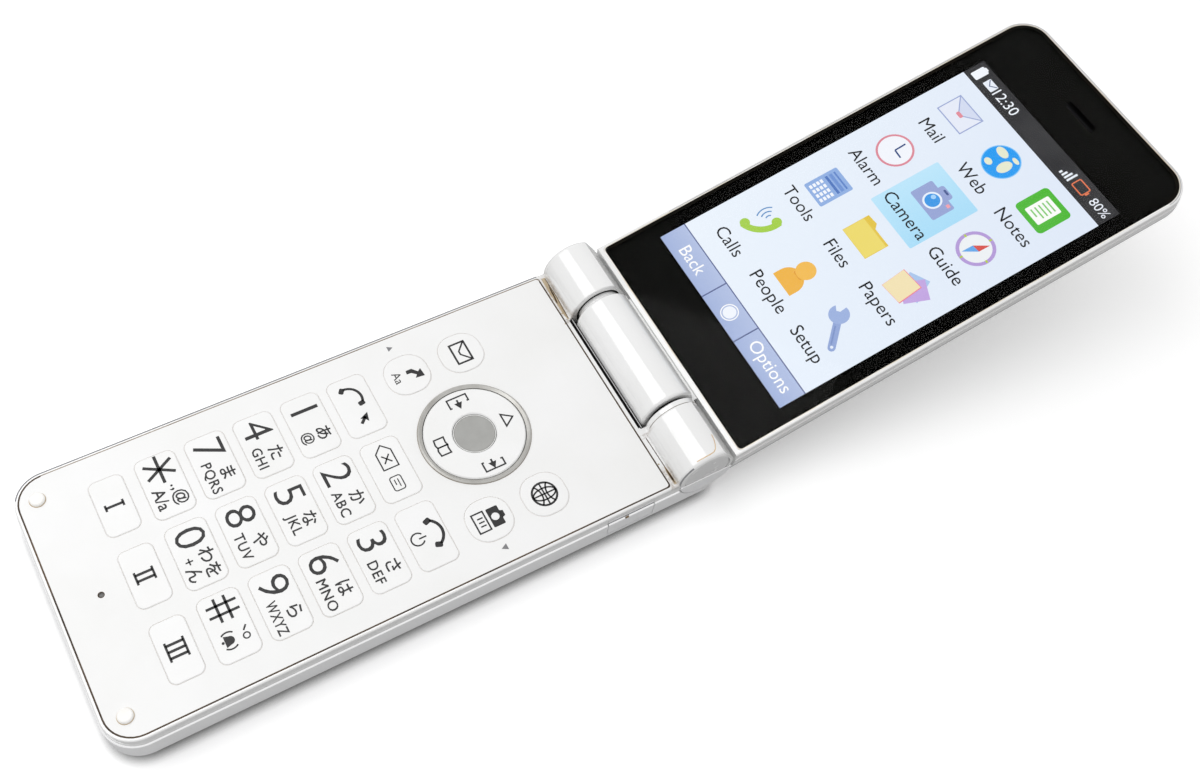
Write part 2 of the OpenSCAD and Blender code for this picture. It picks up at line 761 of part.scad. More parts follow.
module microphone() color("goldenrod") translate([0, mic_y, 0]) slab(board_top, z_panel - fit) circle(mic_r);

module loudspeaker() color("dimgray") translate([speaker_x, speaker_y, 0]) {
    slab(floor_t, floor_t + speaker_size[2]) rounded_rect(speaker_size[0], speaker_size[1], 2);
    slab(floor_t + speaker_size[2] - fit, board_z - fit) circle(3);
}

module vibration_motor() color("silver") translate([motor_x, motor_y, board_z - fit - motor_r]) {
    bore(motor_r, -motor_l / 2, motor_l / 2);
    bore(0.4, motor_l / 2 - fit, motor_l / 2 + 1);
    // Offset weight on the shaft
    intersection() {
        bore(motor_r - 0.1, motor_l / 2 + 0.6, motor_l / 2 + 3);
        translate([0, -motor_r, -motor_r]) cube([motor_l, 2 * motor_r, motor_r + 0.3]);
    }
}

module usb_socket() color("silver") translate([socket_x1, port_y, board_z]) difference() {
    translate([-socket_size[0], -socket_size[1] / 2, -socket_size[2]]) cube(socket_size);
    difference() {
        translate([0, -socket_size[1] / 2, -socket_size[2]])
            translate([-socket_size[0] + socket_wall, socket_wall, socket_wall])
            cube([socket_size[0] + over, socket_size[1] - 2 * socket_wall, socket_size[2] - 2 * socket_wall]);
        // Contact tongue
        translate([-socket_size[0], -socket_size[1] / 4, -socket_size[2] / 2])
            cube([socket_size[0] - 0.8, socket_size[1] / 2, 0.6]);
    }
}

module port_cover() color("gainsboro") {
    difference() {
        at_port(port_w) port_section();
        // Nail notch in the upper edge
        translate([port_x, port_y - 0.9, port_top]) rotate([0, 45, 0]) cube([0.7, 1.6, 0.7], center = true);
    }
    at_port(port_w + 2 * port_pin_l) translate([port_pin_x, port_pin_z]) circle(port_pin_r);
}

module card_socket() color("silver") translate([card_x, card_y, 0])
    slab(board_z - card_size[2], board_z) square([card_size[0], card_size[1]], center = true);

module camera_module() color("black") translate([camera_x, camera_y, 0]) {
    slab(floor_t, floor_t + camera_size[2]) square([camera_size[0], camera_size[1]], center = true);
    slab(camera_win_drop + camera_win_t + fit, floor_t + fit) circle(camera_win_r - 0.6);
}

module camera_window() color("black") translate([camera_x, camera_y, 0])
    slab(camera_win_drop, camera_win_drop + camera_win_t) circle(camera_win_r);

module antenna_carrier() color("dimgray") translate([0, y_end + wall + 0.3 + antenna_size[1] / 2, 0])
    slab(floor_t, floor_t + antenna_size[2]) rounded_rect(antenna_size[0], antenna_size[1], 0.6);

// Two screws under the pads go down, two at the hinge end go up
module case_screws() color("silver") screw_sites() {
    union() {
        slab(z_panel - screw_head_h, z_panel) circle(screw_head_r);
        slab(floor_t + 0.6, z_panel - screw_head_h + fit) circle(screw_r);
    }
    union() {
        slab(fit, screw_head_h) circle(screw_head_r);
        slab(screw_head_h - fit, z_panel - 2 * fit) circle(screw_r);
    }
}

module hinge_caps() color("lightgray") at_axis() {
    bar(cap_r, -knuckle_end + 0.1, -knuckle_end + cap_t, 0.3, 0);
    bar(cap_r, knuckle_end - cap_t, knuckle_end - 0.1, 0, 0.3);
}

module hinge_shaft() color("silver") at_axis() {
    flatted(shaft_r, shaft_flat, shaft_x0, left_in - boss_l + 2 * fit);
    bore(shaft_r, left_in - boss_l + fit, shaft_x1);
}

module pivot_bush() color("silver") at_axis() difference() {
    bore(pivot_r, pivot_x0, pivot_x1 - fit);
    bore(pivot_bore_r, pivot_x0 - over, pivot_x1);
}

// Plan of the lid, without the relief for the knuckles
module lid_plan(w) outline(w, lid_start, half_l, lid_start_r, lid_corner_r);

// Outer form of the lid's back cover and its hollow, by an inset from the outer faces
module lid_form(inset, floor_z, top) tray(lid_back_w - 2 * inset, -half_l, half_l - inset, floor_z, top,
    lid_corner_r, lid_corner_r - inset, lid_edge_r - inset);

module lid_relief() bore(relief_r, -body_w, body_w);

// Web from the middle barrel into the lid
module lid_web() between_x(barrel_x0, barrel_x1) polygon([
    [0, web_top], [glass_start - seam, web_top], [glass_start - seam, glass_under],
    [web_reach, glass_under], [web_reach, web_low],
    [barrel_r * cos(60), -barrel_r * sin(60)], [0, web_low + 2]
]);

module lid_frame() color("white") on_lid() difference() {
    union() {
        difference() {
            intersection() {
                slab(frame_z - over, glass_z + over) lid_plan(lid_w + 2 * over);
                tray_down(lid_w, -half_l, half_l, frame_z, glass_z, lid_corner_r, lid_corner_r, rim_edge_r);
            }
            slab(glass_under, glass_z + over) translate([0, glass_start - seam])
                outline(glass_w + 2 * seam, 0, glass_l + 2 * seam, glass_start_r, glass_r + seam);
            slab(frame_z - over, glass_z) translate([0, glass_start + lid_ledge_w])
                outline(window_w, 0, glass_l - 2 * lid_ledge_w, glass_start_r, glass_r - lid_ledge_w);
            lid_relief();
        }
        bar(barrel_r, barrel_x0, barrel_x1, barrel_edge_r, barrel_edge_r);
        bore(boss_r, barrel_x0 - boss_l + 0.3, barrel_x0 + barrel_edge_r);
        lid_web();
    }
    // Keyed hole for the hinge cartridge, hollow for the flexible circuit, bearing for the pivot
    flatted(cartridge_r + fit, cartridge_flat + fit, barrel_x0 - boss_l, cartridge_x1 + fit);
    bore(flex_bay_r, cartridge_x1, pivot_x0);
    bore(pivot_r + run_gap, pivot_x0 - 0.3, barrel_x1 + over);
    translate([flex_x0 - flex_gap, 0, -flex_out_r - flex_t - flex_gap])
        cube([flex_w + 2 * flex_gap, web_reach + over, flex_t + 2 * flex_gap]);
}

module lid_back() color("whitesmoke") on_lid() difference() {
    intersection() {
        lid_form(0, lid_back_z, frame_z);
        across_x() translate([0, frame_z]) rotate(-90)
            outline(2 * (frame_z - lid_back_z), lid_start, 2 * half_l, lid_start_r, 0);
        translate([0, 0, lid_back_z + crown_r - 0.1]) rotate([90, 0, 0])
            cylinder(r = crown_r, h = 4 * half_l, center = true, $fn = 360);
    }
    intersection() {
        lid_form(lid_wall, lid_back_z + lid_wall + 0.3, frame_z + over);
        translate([-body_w, web_reach + fit, lid_back_z]) cube([2 * body_w, half_l, 2 * lid_t]);
    }
    lid_relief();
    translate([barrel_x0 - fit, 0, web_low - fit])
        cube([barrel_x1 - barrel_x0 + 2 * fit, web_reach + 2 * fit, lid_t]);
    translate([0, sub_y, 0]) slab(lid_back_z - over, frame_z)
        rounded_rect(sub_size[0] + 2 * fit, sub_size[1] + 2 * fit, sub_r + fit);
}

module display_glass() color("black") on_lid() translate([0, glass_start, 0]) difference() {
    slab(glass_under + fit, glass_z) outline(glass_w, 0, glass_l, glass_start_r, glass_r);
    translate([0, ear_y - glass_start, 0]) slab(glass_under - over, glass_z + over)
        rounded_rect(ear_w, ear_l, ear_l / 2);
}

module lcd_module() color("lightblue") on_lid() slab(lcd_z, lcd_z + lcd_t)
    translate([0, lcd_y0 + lcd_l / 2]) square([screen_w + lcd_margin, lcd_l], center = true);

module lid_board() color("darkgreen") on_lid() {
    slab(lid_board_z, lid_board_z + lid_board_t)
        translate([-lid_board_size[0] / 2, lid_board_y0]) square(lid_board_size);
    // Connector for the flexible circuit
    slab(lid_board_z + lid_board_t - fit, -flex_out_r - flex_t - fit)
        translate([flex_x0, lid_board_y0]) square([flex_w, flex_tail]);
}

module earpiece() color("dimgray") on_lid() slab(glass_under - ear_capsule[2], glass_under)
    translate([0, ear_y]) rounded_rect(ear_capsule[0], ear_capsule[1], 2);

module earpiece_grille() color("gray") on_lid() slab(glass_under + fit, glass_under + fit + grille_t)
    translate([0, ear_y]) rounded_rect(ear_w - 2 * fit, ear_l - 2 * fit, ear_l / 2 - fit);

module sub_display() color("black") on_lid() slab(lid_back_z + sub_drop, lid_back_z + sub_drop + sub_size[2])
    translate([0, sub_y]) rounded_rect(sub_size[0], sub_size[1], sub_r);

module lid_magnet() color("silver") on_lid() slab(lid_board_z - fit - magnet_size[2], lid_board_z - fit)
    translate([15, lid_board_y0 + 44]) square([magnet_size[0], magnet_size[1]], center = true);

// Point of the flexible circuit's coil, a share t along it from its outer end
function coil_point(t, side) = let (
    angle = -90 - 360 * flex_turns * t,
    r = flex_out_r + side + (flex_in_r - flex_out_r) * t
) [r * cos(angle), r * sin(angle)];

// Flexible circuit: a coil about the hinge axis and a tail into the lid
module hinge_flex() color("orange") on_lid() between_x(flex_x0, flex_x0 + flex_w) {
    steps = 36;
    polygon(concat(
        [for (i = [0 : steps]) coil_point(i / steps, 0)],
        [for (i = [steps : -1 : 0]) coil_point(i / steps, flex_t)]
    ));
    translate([0, -flex_out_r - flex_t]) square([lid_board_y0 + flex_tail, flex_t]);
}

module hinge_cartridge() color("dimgray") on_lid() difference() {
    flatted(cartridge_r, cartridge_flat, barrel_x0 - boss_l + 0.4, cartridge_x1);
    bore(shaft_r + run_gap, barrel_x0 - boss_l, shaft_x1 + 0.3);
}

rear_case();
front_case();
battery_cover();
keypad_panel();
nav_trim_ring();
bumper_pads();
key_mat();
dome_sheet();
main_board();
battery();
microphone();
loudspeaker();
vibration_motor();
usb_socket();
card_socket();
camera_module();
camera_window();
antenna_carrier();
case_screws();
hinge_caps();
hinge_shaft();
pivot_bush();
port_cover();
nav_ring_key();
nav_rocker_plate();
center_key();
lid_frame();
lid_back();
display_glass();
lcd_module();
lid_board();
earpiece();
earpiece_grille();
sub_display();
lid_magnet();
hinge_flex();
hinge_cartridge();
for (row = [0 : 4], i = [0 : 2])
    dial_key(i, row);
for (i = [0 : 2])
    memory_key(i);
for (i = [0 : 3])
    function_key(i);
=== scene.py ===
import json
import math

import bmesh
import bpy
from mathutils import Matrix, Vector


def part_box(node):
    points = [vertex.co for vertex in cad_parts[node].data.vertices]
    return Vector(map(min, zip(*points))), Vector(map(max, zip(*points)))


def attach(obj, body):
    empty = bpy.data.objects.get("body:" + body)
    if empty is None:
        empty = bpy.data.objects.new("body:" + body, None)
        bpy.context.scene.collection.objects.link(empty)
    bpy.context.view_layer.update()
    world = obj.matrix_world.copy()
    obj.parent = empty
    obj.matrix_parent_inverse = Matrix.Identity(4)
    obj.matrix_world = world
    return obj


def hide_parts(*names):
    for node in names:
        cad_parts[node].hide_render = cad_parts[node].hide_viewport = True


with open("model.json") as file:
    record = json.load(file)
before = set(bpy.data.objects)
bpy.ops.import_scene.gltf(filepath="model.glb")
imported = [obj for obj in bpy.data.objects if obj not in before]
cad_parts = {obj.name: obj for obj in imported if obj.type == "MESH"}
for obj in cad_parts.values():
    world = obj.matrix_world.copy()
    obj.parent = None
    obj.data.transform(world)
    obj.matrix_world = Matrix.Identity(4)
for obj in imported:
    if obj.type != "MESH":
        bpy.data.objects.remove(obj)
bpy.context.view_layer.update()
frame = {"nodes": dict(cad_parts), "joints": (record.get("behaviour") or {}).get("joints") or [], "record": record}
mm = 0.001
record = frame["record"]
scene = bpy.context.scene
scene.view_settings.view_transform = "Standard"
hinge = next(j for j in frame["joints"] if j["name"] == "lid_hinge")
lidTilt = math.radians(180 - hinge["range_deg"][1])
lidPlace = Matrix.Translation(hinge["pos_m"]) @ Matrix.Rotation(lidTilt, 4, "X")
print("frame loaded:", len(frame["nodes"]), "nodes")


# camera at the photo's angle, worked out for a 1200 by 784 picture
cameraLook = {
    "place": (100.45, -38.00, 219.48),  # mm
    "aim": (2.387, 44.833, 8.8),
    "roll": 12.23,  # degrees, against the clock
    "lens": 40.78,
    "sensor": 36.0,
    "clip": 0.005,  # m
}


def makeCamera():
    place = Vector(cameraLook["place"]) * mm
    back = (place - Vector(cameraLook["aim"]) * mm).normalized()
    level = Vector((0, 0, 1)).cross(back).normalized()
    upright = back.cross(level)
    roll = math.radians(cameraLook["roll"])
    right = level * math.cos(roll) + upright * math.sin(roll)
    up = back.cross(right)
    data = bpy.data.cameras.new("camera")
    data.lens = cameraLook["lens"]
    data.sensor_fit = "HORIZONTAL"
    data.sensor_width = cameraLook["sensor"]
    data.clip_start = cameraLook["clip"]
    camera = bpy.data.objects.new("camera", data)
    scene.collection.objects.link(camera)
    axes = Matrix((right, up, back)).transposed().to_4x4()
    camera.matrix_world = Matrix.Translation(place) @ axes
    scene.camera = camera


makeCamera()
print("camera set")


# node helpers: a value is either a number, a colour or another node's socket
def feed(tree, sockets, values):
    for key, value in values.items():
        if isinstance(value, bpy.types.NodeSocket):
            tree.links.new(value, sockets[key])
        else:
            sockets[key].default_value = value


def put(tree, kind, inputs=None, **settings):
    node = tree.nodes.new(kind)
    for key, value in settings.items():
        setattr(node, key, value)
    feed(tree, node.inputs, inputs or {})
    return node


def calc(tree, operation, a, b=0.0, clamp=False):
    return put(tree, "ShaderNodeMath", {0: a, 1: b}, operation=operation, use_clamp=clamp).outputs[0]


def mixColours(tree, factor, a, b):
    return put(tree, "ShaderNodeMix", {0: factor, 6: a, 7: b}, data_type="RGBA").outputs[2]


def remap(tree, value, low, high, toLow=0.0, toHigh=1.0):
    sockets = {"Value": value, "From Min": low, "From Max": high, "To Min": toLow, "To Max": toHigh}
    return put(tree, "ShaderNodeMapRange", sockets).outputs[0]


# linear colour from its usual code
def hexColour(text):
    channels = [int(text[i:i + 2], 16) / 255 for i in (1, 3, 5)]
    linear = [c / 12.92 if c <= 0.04045 else ((c + 0.055) / 1.055) ** 2.4 for c in channels]
    return (*linear, 1.0)


# a group of nodes takes a place, vectors and numbers by name, and gives one value
def newGroup(name, numbers, vectors=()):
    tree = bpy.data.node_groups.new(name, "ShaderNodeTree")
    kinds = {**dict.fromkeys(("Vector", *vectors), "Vector"), **dict.fromkeys(numbers, "Float")}
    for socketName, kind in kinds.items():
        tree.interface.new_socket(name=socketName, in_out="INPUT", socket_type="NodeSocket" + kind)
    tree.interface.new_socket(name="Value", in_out="OUTPUT", socket_type="NodeSocketFloat")
    return tree, put(tree, "NodeGroupInput").outputs, put(tree, "NodeGroupOutput").inputs


def useGroup(tree, group, place, inputs):
    return put(tree, "ShaderNodeGroup", {"Vector": place, **inputs}, node_tree=group).outputs["Value"]


patternLook = {
    "cloud": (0.3, 0.7),  # where most of the noise lies
    "ragged": 9.0,  # finer noise on the edges of specks
    "hairTurns": (0.5, -0.8), "hairStretch": (1, 26, 1), "hairEdge": (0.66, 0.74),
    "dirtFade": (1.0, 0.45), "dirtStart": 0.75, "dirtGrow": 0.4, "dirtEnd": 0.85, "bump": 0.6,
}


# slow change of a value over the surface, such as tone or gloss
def makeMottle():
    tree, given, made = newGroup("mottle", ("Scale", "Low", "High"))
    cloud = {"Vector": given["Vector"], "Scale": given["Scale"], "Detail": 4.0}
    noise = put(tree, "ShaderNodeTexNoise", cloud).outputs["Fac"]
    feed(tree, made, {"Value": remap(tree, noise, *patternLook["cloud"], given["Low"], given["High"])})
    return tree


# sparse specks of dust, each in its own cell
def makeSpecks():
    tree, given, made = newGroup("specks", ("Scale", "Size", "Share"))
    cells = put(tree, "ShaderNodeTexVoronoi", {"Vector": given["Vector"], "Scale": given["Scale"]})
    dice = put(tree, "ShaderNodeSeparateColor", {"Color": cells.outputs["Color"]}).outputs
    fine = calc(tree, "MULTIPLY", given["Scale"], patternLook["ragged"])
    ragged = put(tree, "ShaderNodeTexNoise", {"Vector": given["Vector"], "Scale": fine})
    reach = calc(tree, "MULTIPLY", given["Size"], calc(tree, "ADD", dice["Green"], ragged.outputs["Fac"]))
    near = calc(tree, "LESS_THAN", cells.outputs["Distance"], reach)
    picked = calc(tree, "LESS_THAN", dice["Red"], given["Share"])
    feed(tree, made, {"Value": calc(tree, "MULTIPLY", near, picked)})
    return tree


# fine hairline scratches in two directions
def makeScratches():
    tree, given, made = newGroup("scratches", ("Scale", "Amount"))
    lines = []
    for turn in patternLook["hairTurns"]:
        along = {"Vector": given["Vector"], "Rotation": (0, 0, turn), "Scale": patternLook["hairStretch"]}
        turned = put(tree, "ShaderNodeMapping", along).outputs[0]
        hairs = {"Vector": turned, "Scale": given["Scale"], "Detail": 2.0}
        noise = put(tree, "ShaderNodeTexNoise", hairs).outputs["Fac"]
        lines.append(remap(tree, noise, *patternLook["hairEdge"]))
    both = calc(tree, "MAXIMUM", lines[0], lines[1])
    feed(tree, made, {"Value": calc(tree, "MULTIPLY", both, given["Amount"])})
    return tree


# dirt that gathers inside a box about a middle, broken up by noise
def makeDirt():
    tree, given, made = newGroup("dirt", ("Scale", "Cover"), ("Middle", "Reach"))

    def step(operation, *values):
        return put(tree, "ShaderNodeVectorMath", dict(enumerate(values)), operation=operation).outputs[0]
    away = step("ABSOLUTE", step("SUBTRACT", given["Vector"], given["Middle"]))
    axes = put(tree, "ShaderNodeSeparateXYZ", {0: step("DIVIDE", away, given["Reach"])}).outputs
    farthest = calc(tree, "MAXIMUM", calc(tree, "MAXIMUM", axes[0], axes[1]), axes[2])
    inside = remap(tree, farthest, *patternLook["dirtFade"])
    grain = {"Vector": given["Vector"], "Scale": given["Scale"], "Detail": 5.0, "Roughness": 0.65}
    noise = put(tree, "ShaderNodeTexNoise", grain).outputs["Fac"]
    grown = calc(tree, "MULTIPLY", given["Cover"], patternLook["dirtGrow"])
    start = calc(tree, "SUBTRACT", patternLook["dirtStart"], grown)
    broken = remap(tree, noise, start, patternLook["dirtEnd"])
    feed(tree, made, {"Value": calc(tree, "MULTIPLY", inside, broken, True)})
    return tree


mottle = makeMottle()
specks = makeSpecks()
scratches = makeScratches()
dirt = makeDirt()
print("shader groups made")


def vary(tree, place, scale, low=0.0, high=1.0):
    return useGroup(tree, mottle, place, {"Scale": scale, "Low": low, "High": high})


def newMaterial(name):
    material = bpy.data.materials.new(name)
    material.use_nodes = True
    tree = material.node_tree
    return material, tree, tree.nodes["Principled BSDF"].inputs, put(tree, "ShaderNodeTexCoord").outputs


# a finish from its settings: two tones, gloss that varies, grain, specks, scratches and dirt
def makeFinish(look):
    material, tree, inputs, places = newMaterial(look["name"])
    place = places["Object"]
    if "stretch" in look:
        place = put(tree, "ShaderNodeMapping", {"Vector": place, "Scale": look["stretch"]}).outputs[0]
    tone = vary(tree, place, look["toneScale"])
    colour = mixColours(tree, tone, hexColour(look["colour"]), hexColour(look["shade"]))
    if "specks" in look:
        mask = useGroup(tree, specks, place, look["specks"])
        colour = mixColours(tree, mask, colour, hexColour(look["speckColour"]))
    for spot in look.get("dirt", []):
        mask = useGroup(tree, dirt, place, spot)
        colour = mixColours(tree, mask, colour, hexColour(look["dirtColour"]))
    rough = vary(tree, place, look["roughScale"], *look["rough"])
    if "scratches" in look:
        rough = calc(tree, "ADD", rough, useGroup(tree, scratches, place, look["scratches"]), True)
    feed(tree, inputs, {"Base Color": colour, "Roughness": rough, **look.get("sockets", {})})
    if "grainScale" in look:
        grain = vary(tree, place, look["grainScale"])
        bump = {"Height": grain, "Strength": patternLook["bump"], "Distance": look["grainDepth"] * mm}
        feed(tree, inputs, {"Normal": put(tree, "ShaderNodeBump", bump).outputs[0]})
    return material


# pearl-white lacquer of the upper case, the barrels and the lid, with brown dirt beside the hinge
pearlLook = {
    "name": "pearlLacquer", "colour": "#F1F1F1", "shade": "#ECECEB", "toneScale": 60.0,
    "rough": (0.10, 0.16), "roughScale": 300.0, "grainScale": 2500.0, "grainDepth": 0.0003,
    "speckColour": "#8E7B66", "specks": {"Scale": 160.0, "Size": 0.014, "Share": 0.05},
    "scratches": {"Scale": 160.0, "Amount": 0.10}, "dirtColour": "#7A5F3F", "dirt": [  # places in metres
        {"Middle": (-0.0195, 0.0473, 0.0090), "Reach": (0.0062, 0.0012, 0.0016),
         "Scale": 1500.0, "Cover": 1.0},
        {"Middle": (0.0232, 0.0473, 0.0090), "Reach": (0.0030, 0.0011, 0.0012),
         "Scale": 1700.0, "Cover": 1.0},
        {"Middle": (-0.0137, 0.0480, 0.0095), "Reach": (0.0007, 0.0022, 0.0022),
         "Scale": 1900.0, "Cover": 1.0},
        {"Middle": (0.0139, 0.0484, 0.0100), "Reach": (0.0006, 0.0020, 0.0022),
         "Scale": 1900.0, "Cover": 0.9},
    ],
    "sockets": {"Coat Weight": 1.0, "Coat Roughness": 0.03, "Coat IOR": 1.65},
}
# silver-white lacquer of the lower case, a little metallic
silverLook = {
    "name": "silverLacquer", "colour": "#F6F6F7", "shade": "#F1F1F2", "toneScale": 30.0,
    "rough": (0.31, 0.35), "roughScale": 60.0,
    "sockets": {"Metallic": 0.05, "Coat Weight": 0.3, "Coat Roughness": 0.1},
}
# white satin sheet round the keys
panelLook = {
    "name": "panelSatin", "colour": "#F3F3F3", "shade": "#EFEFEE", "toneScale": 70.0,
    "rough": (0.42, 0.52), "roughScale": 350.0, "grainScale": 12000.0, "grainDepth": 0.0012,
    "speckColour": "#8C7558", "specks": {"Scale": 170.0, "Size": 0.024, "Share": 0.06},
    "scratches": {"Scale": 140.0, "Amount": 0.08},
}
# white key caps, slightly smoother than the sheet
keyLook = {
    "name": "keySatin", "colour": "#F4F4F4", "shade": "#F0F0EF", "toneScale": 120.0,
    "rough": (0.36, 0.46), "roughScale": 500.0, "grainScale": 14000.0, "grainDepth": 0.0009,
    "speckColour": "#A39883", "specks": {"Scale": 200.0, "Size": 0.014, "Share": 0.05},
    "scratches": {"Scale": 170.0, "Amount": 0.08},
}
# bright plated ring round the navigation key
trimLook = {
    "name": "platedTrim", "colour": "#C2C1BD", "shade": "#B0AEA9", "toneScale": 250.0,
    "rough": (0.36, 0.44), "roughScale": 400.0, "speckColour": "#7D6A50",
    "specks": {"Scale": 600.0, "Size": 0.09, "Share": 0.012}, "sockets": {"Metallic": 0.75},
}
centreLook = {
    "name": "centreKeyGrey", "colour": "#A7A7A4", "shade": "#A0A09D", "toneScale": 500.0,
    "rough": (0.34, 0.46), "roughScale": 900.0, "grainScale": 16000.0, "grainDepth": 0.0010,
    "speckColour": "#8B8880", "specks": {"Scale": 700.0, "Size": 0.05, "Share": 0.06},
}
# milky rubber pads, faintly yellowed in places
padLook = {
    "name": "padRubber", "colour": "#FBFBFA", "shade": "#F7F5F1", "toneScale": 700.0,
    "rough": (0.4, 0.5), "roughScale": 1200.0, "grainScale": 9000.0, "grainDepth": 0.0008,
}
capLook = {
    "name": "hingeCapGrey", "colour": "#E4E4E4", "shade": "#DCDCDC", "toneScale": 90.0,
    "rough": (0.26, 0.3), "roughScale": 150.0, "sockets": {"Coat Weight": 0.3},
}
darkWindowLook = {
    "name": "darkWindow", "colour": "#070708", "shade": "#0B0B0C", "toneScale": 300.0,
    "rough": (0.04, 0.10), "roughScale": 500.0, "grainScale": 4000.0, "grainDepth": 0.0001,
    "speckColour": "#55524C", "specks": {"Scale": 700.0, "Size": 0.03, "Share": 0.05},
}
boardLook = {
    "name": "boardLaminate", "colour": "#1E6B3C", "shade": "#175732", "toneScale": 500.0,
    "rough": (0.35, 0.55), "roughScale": 900.0, "grainScale": 6000.0, "grainDepth": 0.002,
}
batteryLook = {
    "name": "batterySleeve", "colour": "#55575B", "shade": "#494B4F", "toneScale": 200.0,
    "rough": (0.3, 0.45), "roughScale": 500.0, "grainScale": 5000.0, "grainDepth": 0.002,
    "sockets": {"Metallic": 0.4},
}
steelLook = {
    "name": "plainSteel", "colour": "#C2C2C1", "shade": "#AEAEAC", "toneScale": 600.0,
    "rough": (0.22, 0.4), "roughScale": 900.0, "grainScale": 7000.0, "grainDepth": 0.001,
    "scratches": {"Scale": 500.0, "Amount": 0.2}, "sockets": {"Metallic": 1.0},
}
blackPlasticLook = {
    "name": "blackMoulding", "colour": "#191919", "shade": "#131313", "toneScale": 400.0,
    "rough": (0.45, 0.6), "roughScale": 900.0, "grainScale": 9000.0, "grainDepth": 0.002,
}
flexLook = {
    "name": "amberFilm", "colour": "#C98A2E", "shade": "#B77A24", "toneScale": 500.0,
    "rough": (0.25, 0.4), "roughScale": 900.0, "grainScale": 6000.0, "grainDepth": 0.001,
}
matLook = {
    "name": "keyMatSilicone", "colour": "#DADAD8", "shade": "#D0D0CD", "toneScale": 400.0,
    "rough": (0.4, 0.55), "roughScale": 900.0, "grainScale": 8000.0, "grainDepth": 0.001,
}
micLook = {
    "name": "microphoneCan", "colour": "#C9A75A", "shade": "#B8954A", "toneScale": 700.0,
    "rough": (0.25, 0.4), "roughScale": 900.0, "grainScale": 8000.0, "grainDepth": 0.001,
    "sockets": {"Metallic": 1.0},
}
lcdLook = {
    "name": "displayTray", "colour": "#26282C", "shade": "#1D1F22", "toneScale": 300.0,
    "rough": (0.3, 0.45), "roughScale": 700.0, "grainScale": 8000.0, "grainDepth": 0.0006,
}


# woven earpiece grille: fine round holes in dark metal, with a bare lip along one side
grilleLook = {
    "name": "grilleMesh", "pitch": 0.22, "holeEdge": (0.32, 0.40), "colour": "#050505", "hole": "#000000",
    "lip": "#1A1A1C", "lipEnd": 0.36, "rough": (0.35, 0.5), "roughScale": 2000.0,
}


def makeGrille():
    material, tree, inputs, places = newMaterial(grilleLook["name"])
    grid = {"Vector": places["Object"], "Scale": 1 / (grilleLook["pitch"] * mm), "Randomness": 0.0}
    cells = put(tree, "ShaderNodeTexVoronoi", grid).outputs["Distance"]
    hole = remap(tree, cells, *grilleLook["holeEdge"], 1.0, 0.0)
    colour = mixColours(tree, hole, hexColour(grilleLook["colour"]), hexColour(grilleLook["hole"]))
    across = put(tree, "ShaderNodeSeparateXYZ", {0: places["Generated"]}).outputs["Y"]
    lip = calc(tree, "LESS_THAN", across, grilleLook["lipEnd"])
    rough = vary(tree, places["Object"], grilleLook["roughScale"], *grilleLook["rough"])
    feed(tree, inputs, {"Base Color": mixColours(tree, lip, colour, hexColour(grilleLook["lip"])),
                        "Roughness": rough, "Specular IOR Level": 0.0})
    return material


# clear display cover with faint smears
glassLook = {"name": "displayGlass", "index": 1.11, "rough": (0.0, 0.02), "roughScale": 90.0}


def makeGlass():
    material, tree, inputs, places = newMaterial(glassLook["name"])
    smear = vary(tree, places["Object"], glassLook["roughScale"], *glassLook["rough"])
    feed(tree, inputs, {"Base Color": (1, 1, 1, 1), "Transmission Weight": 1.0, "IOR": glassLook["index"],
                        "Roughness": smear})
    return material


looks = {
    "case_white": pearlLook, "case_silver": silverLook, "panel_white": panelLook, "key_white": keyLook,
    "trim_chrome": trimLook, "key_grey": centreLook, "pad_rubber": padLook, "cap_grey": capLook,
    "dark_window": darkWindowLook, "circuit_board": boardLook, "battery_can": batteryLook,
    "steel": steelLook, "black_plastic": blackPlasticLook, "flex_film": flexLook, "mat_rubber": matLook,
    "mic_can": micLook, "display_panel": lcdLook,
}
finishes = {slot: makeFinish(look) for slot, look in looks.items()}
finishes.update({"grille_mesh": makeGrille(), "display_cover": makeGlass()})
for part in record["subparts"]:
    node = frame["nodes"][part["node"]]
    node.data.materials.clear()
    node.data.materials.append(finishes[part["material_slot"]])
print("finishes on", len(record["subparts"]), "nodes")


# flat shapes: each is a loop of points with a tint and a level, in millimetres
def shape(loop, tint="#000000", level=0, holes=()):
    return {"loop": list(loop), "tint": tint, "level": level, "holes": [list(h) for h in holes]}


def arc(x, y, r, start, end, steps=16):
    angles = [math.radians(start + (end - start) * i / steps) for i in range(steps + 1)]
    return [(x + r * math.cos(a), y + r * math.sin(a)) for a in angles]


def circle(x, y, r, steps=28):
    return arc(x, y, r, 0, 360, steps)[:-1]


def disc(x, y, r, tint="#000000", level=0, steps=28):
    return [shape(circle(x, y, r, steps), tint, level)]


def oval(x, y, rx, ry, steps=28):
    return [(x + rx * px, y + ry * py) for px, py in circle(0, 0, 1, steps)]


def roundLoop(x0, y0, x1, y1, r0, r1=None, steps=6):
    top = r0 if r1 is None else r1
    loop = arc(x1 - r0, y0 + r0, r0, -90, 0, steps) + arc(x1 - top, y1 - top, top, 0, 90, steps)
    return loop + arc(x0 + top, y1 - top, top, 90, 180, steps) + arc(x0 + r0, y0 + r0, r0, 180, 270, steps)


def box(x0, y0, x1, y1, tint="#000000", level=0, r=0.0):
    if r > 0:
        return [shape(roundLoop(x0, y0, x1, y1, r), tint, level)]
    return [shape([(x0, y0), (x1, y0), (x1, y1), (x0, y1)], tint, level)]


